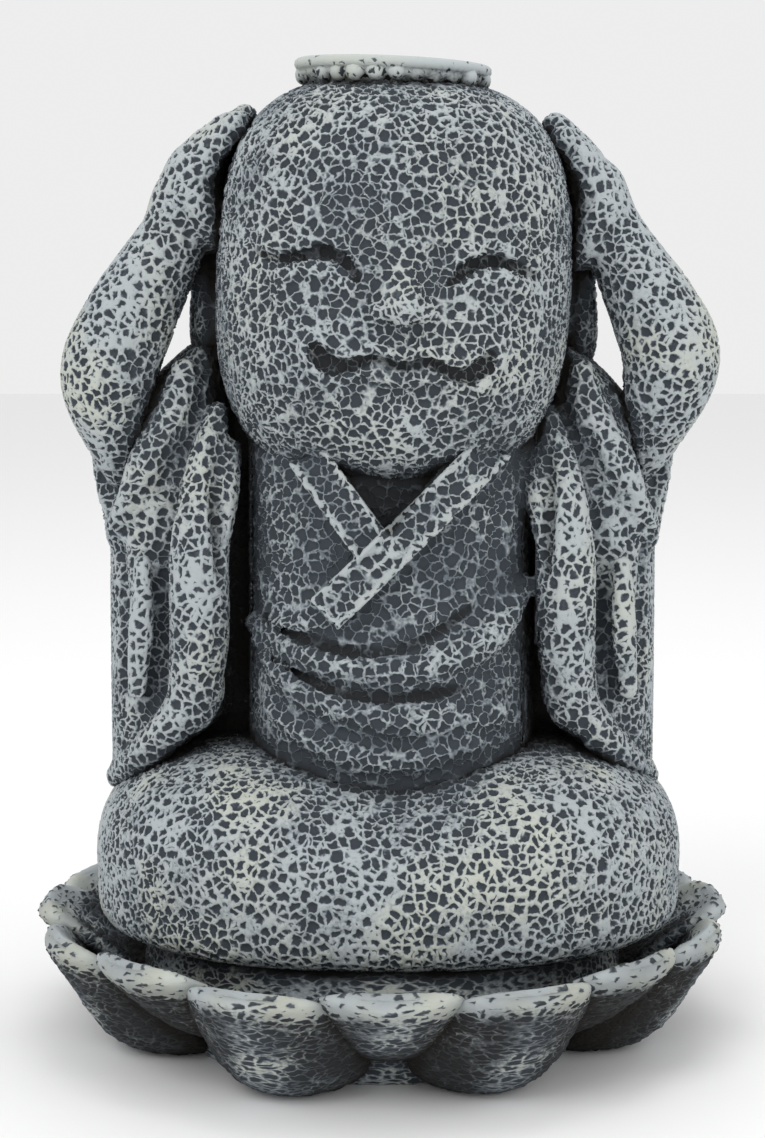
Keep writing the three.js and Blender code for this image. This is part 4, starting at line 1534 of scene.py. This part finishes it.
@dataclass
class Petal:
    """One spoon-shaped petal. Stations are radius share, rim share, width share, thickness, bend."""

    stations: Sequence[tuple[float, float, float, float, float]]
    width: float
    rim: float
    foot: float = 56.0
    tip: float = 92.0
    rows: int = 56
    around: int = 60

    def rings(self) -> Array:
        """Rings of points from the foot to the rim, for a petal that points to -Y."""
        table = np.array(self.stations, float)
        keys = np.arange(len(table), dtype=float)
        s = np.linspace(0, 1, self.rows) * (len(table) - 1)
        out, up, wide, thick, bend = (track(keys, table[:, i], s) for i in range(5))
        radius = self.foot + (self.tip - self.foot) * out - 1.5
        height = self.rim * up
        slope = np.arctan2(np.gradient(height), np.gradient(radius))
        turn = np.arange(self.around) * 2 * math.pi / self.around
        across = np.sign(np.cos(turn)) * np.abs(np.cos(turn)) ** (2 / 2.5)
        end = np.clip((1 - s / s[-1]) / 0.05, 0, 1)
        shrink = np.sqrt(1 - (1 - end) ** 2 * 0.92)
        side = across[None, :] * (wide * (0.8 + 0.2 * shrink))[:, None]
        lift = np.sin(turn)[None, :] * (thick * shrink)[:, None] / 2 + side**2 * 2
        away = radius[:, None] - np.sin(slope)[:, None] * lift - side**2 * bend[:, None]
        tall = np.maximum(0, height[:, None] + np.cos(slope)[:, None] * lift)
        return np.stack([side * self.width / 2, -away, tall], axis=-1)

    def piece(self, name: str) -> bpy.types.Object:
        """The petal as a closed mesh, with its own grain running across it."""
        rings = self.rings()
        points = np.concatenate([[rings[0].mean(0)], rings.reshape(-1, 3), [rings[-1].mean(0)]])
        faces = [face[::-1] for face in capped_faces(self.rows, self.around)]
        return new_piece(name, points, faces)

    def cloud(self, angles: Iterable[float]) -> Array:
        """Points through the thickness of the petals at some angles, in degrees."""
        rings = self.rings()
        mirror = rings[:, ::-1]
        mirror = np.roll(mirror, 1, axis=1)
        shares = np.linspace(0, 1, 7)[:, None, None, None]
        body = (rings[None] * (1 - shares) + mirror[None] * shares).reshape(-1, 3)
        turned = []
        for angle in angles:
            c, s = math.cos(math.radians(angle)), math.sin(math.radians(angle))
            turned.append(body @ np.array([[c, s, 0], [-s, c, 0], [0, 0, 1]]))
        return np.concatenate(turned)


@dataclass
class Lotus:
    """The lotus base: a turned seat ringed by two staggered rows of petals."""

    per_row: int = 8
    turned: float = 1.5
    foot_radius: float = 56.0
    seat_radius: float = 60.0
    seat_top: float = 32.0
    rim_height: float = 34.0
    finish: StoneFinish = StoneFinish(
        "petal_stone",
        Pitting(size=2.1, ridge=0.06, slope=0.24, wander=1.4, patchy=0.34, depth=0.45, stretch=(0.5, 0.8, 1.25)),
        cover=0.3,
        cream=0.7,
    )
    outer: Petal = field(default_factory=lambda: Petal(
        [(-0.2, 0.09, 0.6, 6, 6), (0.2, 0.1, 0.8, 8, 10), (0.52, 0.25, 1, 9, 10), (0.76, 0.58, 1, 7.5, 7),
         (0.94, 0.86, 0.84, 6, 5), (1, 0.93, 0.5, 4.5, 3)], 41, 33))
    inner: Petal = field(default_factory=lambda: Petal(
        [(0, 0.3, 0.5, 6, 4), (0.35, 0.42, 0.8, 7, 6), (0.68, 0.66, 1, 7, 6), (0.93, 0.88, 0.84, 6, 4),
         (1, 0.94, 0.5, 4.5, 3)], 38, 34))

    def angles(self, shift: float) -> list[float]:
        """The petals' angles in degrees, shifted by a share of a step."""
        return [(i + shift) * 360 / self.per_row + self.turned for i in range(self.per_row)]

    def weigh(self, shelter_map: ShelterMap) -> None:
        """Adds the base's mass to the map of shelter."""
        shelter_map.scatter(self.inner.cloud(self.angles(0)))
        shelter_map.scatter(self.outer.cloud(self.angles(0.5)))
        x, y, z = (axis[i] for axis, i in zip(shelter_map.axes, (slice(None),) * 3))
        disc = np.hypot(x[:, None], y[None, :]) < self.seat_radius
        tall = (z > 0) & (z < self.seat_top)
        shelter_map.mass[disc[:, :, None] & tall[None, None, :]] = 1

    def rim(self) -> Mass:
        """The ring in which the petals' rolled rims lie."""

        def rule(x: Array, y: Array, z: Array) -> Array:
            """Distance to the ring."""
            return (np.hypot(np.hypot(x, y) - self.outer.tip + 5.0, (z - self.rim_height + 2.0) * 1.1) - 3.4) * 0.3

        return Mass((-93, -93, 20), (93, 93, 36), rule)

    def build(self, finishes: Finishes, shelter_map: ShelterMap) -> None:
        """Turns the seat, sets the petals round it and dresses them."""
        foot, seat, top = self.foot_radius, self.seat_radius, self.seat_top
        profile = [(0, 0), (foot, 0), (seat, 7), (seat + 3, 18), (seat, 27), (seat - 5, top), (0, top)]
        base = new_piece("lotus_seat", *turned_profile(moved(profile, 1.6), 260))
        finishes.dress(base, self.finish, shelter_map)
        for name, petal, shift, seed in (("petals_inner", self.inner, 0, 4), ("petals_outer", self.outer, 0.5, 9)):
            row = petal.piece(name)
            finishes.ring.lay(row, self.per_row, self.angles(shift)[0], 0.985, seed)
            finishes.dress(row, self.finish, shelter_map, (), [self.rim()])


# ---------------------------------------------------------------- studio


@dataclass
class Studio:
    """Pale floor, soft light and the camera."""

    camera_place: Point = (0.0, -0.625, 0.200)
    camera_pitch: float = 7.3
    lens: float = 76.46
    sensor: float = 36.0

    def camera(self) -> None:
        """Makes the camera and hands it to the scene."""
        data = bpy.data.cameras.new("camera")
        data.sensor_width, data.lens = self.sensor, self.lens
        data.clip_start, data.clip_end = 0.01, 20
        made = bpy.data.objects.new("camera", data)
        made.location = self.camera_place
        made.rotation_euler = (math.radians(90 - self.camera_pitch), 0, 0)
        bpy.context.scene.collection.objects.link(made)
        bpy.context.scene.camera = made

    def floor(self) -> None:
        """Makes the floor."""
        size = 3000.0
        points = np.array([[-size, -size, 0], [size, -size, 0], [size, size, 0], [-size, size, 0]])
        piece = new_piece("floor", points, [[0, 1, 2, 3]])
        paper = bpy.data.materials.new("floor_paper")
        paper.use_nodes = True
        shader = paper.node_tree.nodes["Principled BSDF"]
        shader.inputs["Base Color"].default_value = (0.92, 0.92, 0.92, 1)
        shader.inputs["Roughness"].default_value = 0.9
        piece.data.materials.append(paper)

    def lamp(self, name: str, place: Point, size: float, power: float, aim: Point = (0, 0, 0.12)) -> None:
        """Hangs one soft square lamp that faces a place."""
        data = bpy.data.lights.new(name, "AREA")
        data.shape, data.size, data.energy = "SQUARE", size, power
        made = bpy.data.objects.new(name, data)
        made.location = place
        made.rotation_euler = (Vector(aim) - Vector(place)).to_track_quat("-Z", "Y").to_euler()
        bpy.context.scene.collection.objects.link(made)

    def light(self) -> None:
        """Makes the sky and the lamps."""
        world = bpy.data.worlds.new("studio")
        world.use_nodes = True
        sky = world.node_tree.nodes["Background"]
        sky.inputs["Color"].default_value = (1, 1, 1, 1)
        sky.inputs["Strength"].default_value = 0.85
        bpy.context.scene.world = world
        self.lamp("key_lamp", (-0.6, -0.9, 1.1), 0.7, 5.5)
        self.lamp("fill_lamp", (0.9, -0.8, 0.6), 0.9, 2.5)
        self.lamp("top_lamp", (0.1, 0.3, 1.3), 0.8, 3.0)

    def build(self) -> None:
        """Sets up the whole studio."""
        self.camera()
        self.floor()
        self.light()
        bpy.context.scene.view_settings.view_transform = "Standard"
        bpy.context.scene.view_settings.look = "None"


# ---------------------------------------------------------------- the whole statue


def main() -> None:
    """Models, dresses and lights the statue."""
    logging.basicConfig(level=logging.INFO, format="%(name)s %(message)s")
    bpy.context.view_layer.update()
    shelter_map = ShelterMap()
    finishes = Finishes()
    head = Head()
    arms = [Arm(side, head) for side in Side]
    robe, lap, lotus, dish = Robe(), Lap(), Lotus(), Dish()
    for modelled in (head, *arms, robe, lap):
        shelter_map.take(modelled.shape())
        LOG.info("modelled %s", type(modelled).__name__)
    lotus.weigh(shelter_map)
    shelter_map.scatter(dish.cloud())
    shelter_map.settle()
    for built in (head, dish, *arms, robe, lap, lotus):
        built.build(finishes, shelter_map)
        LOG.info("built %s", type(built).__name__)
    Studio().build()


if __name__ == "__main__":
    main()
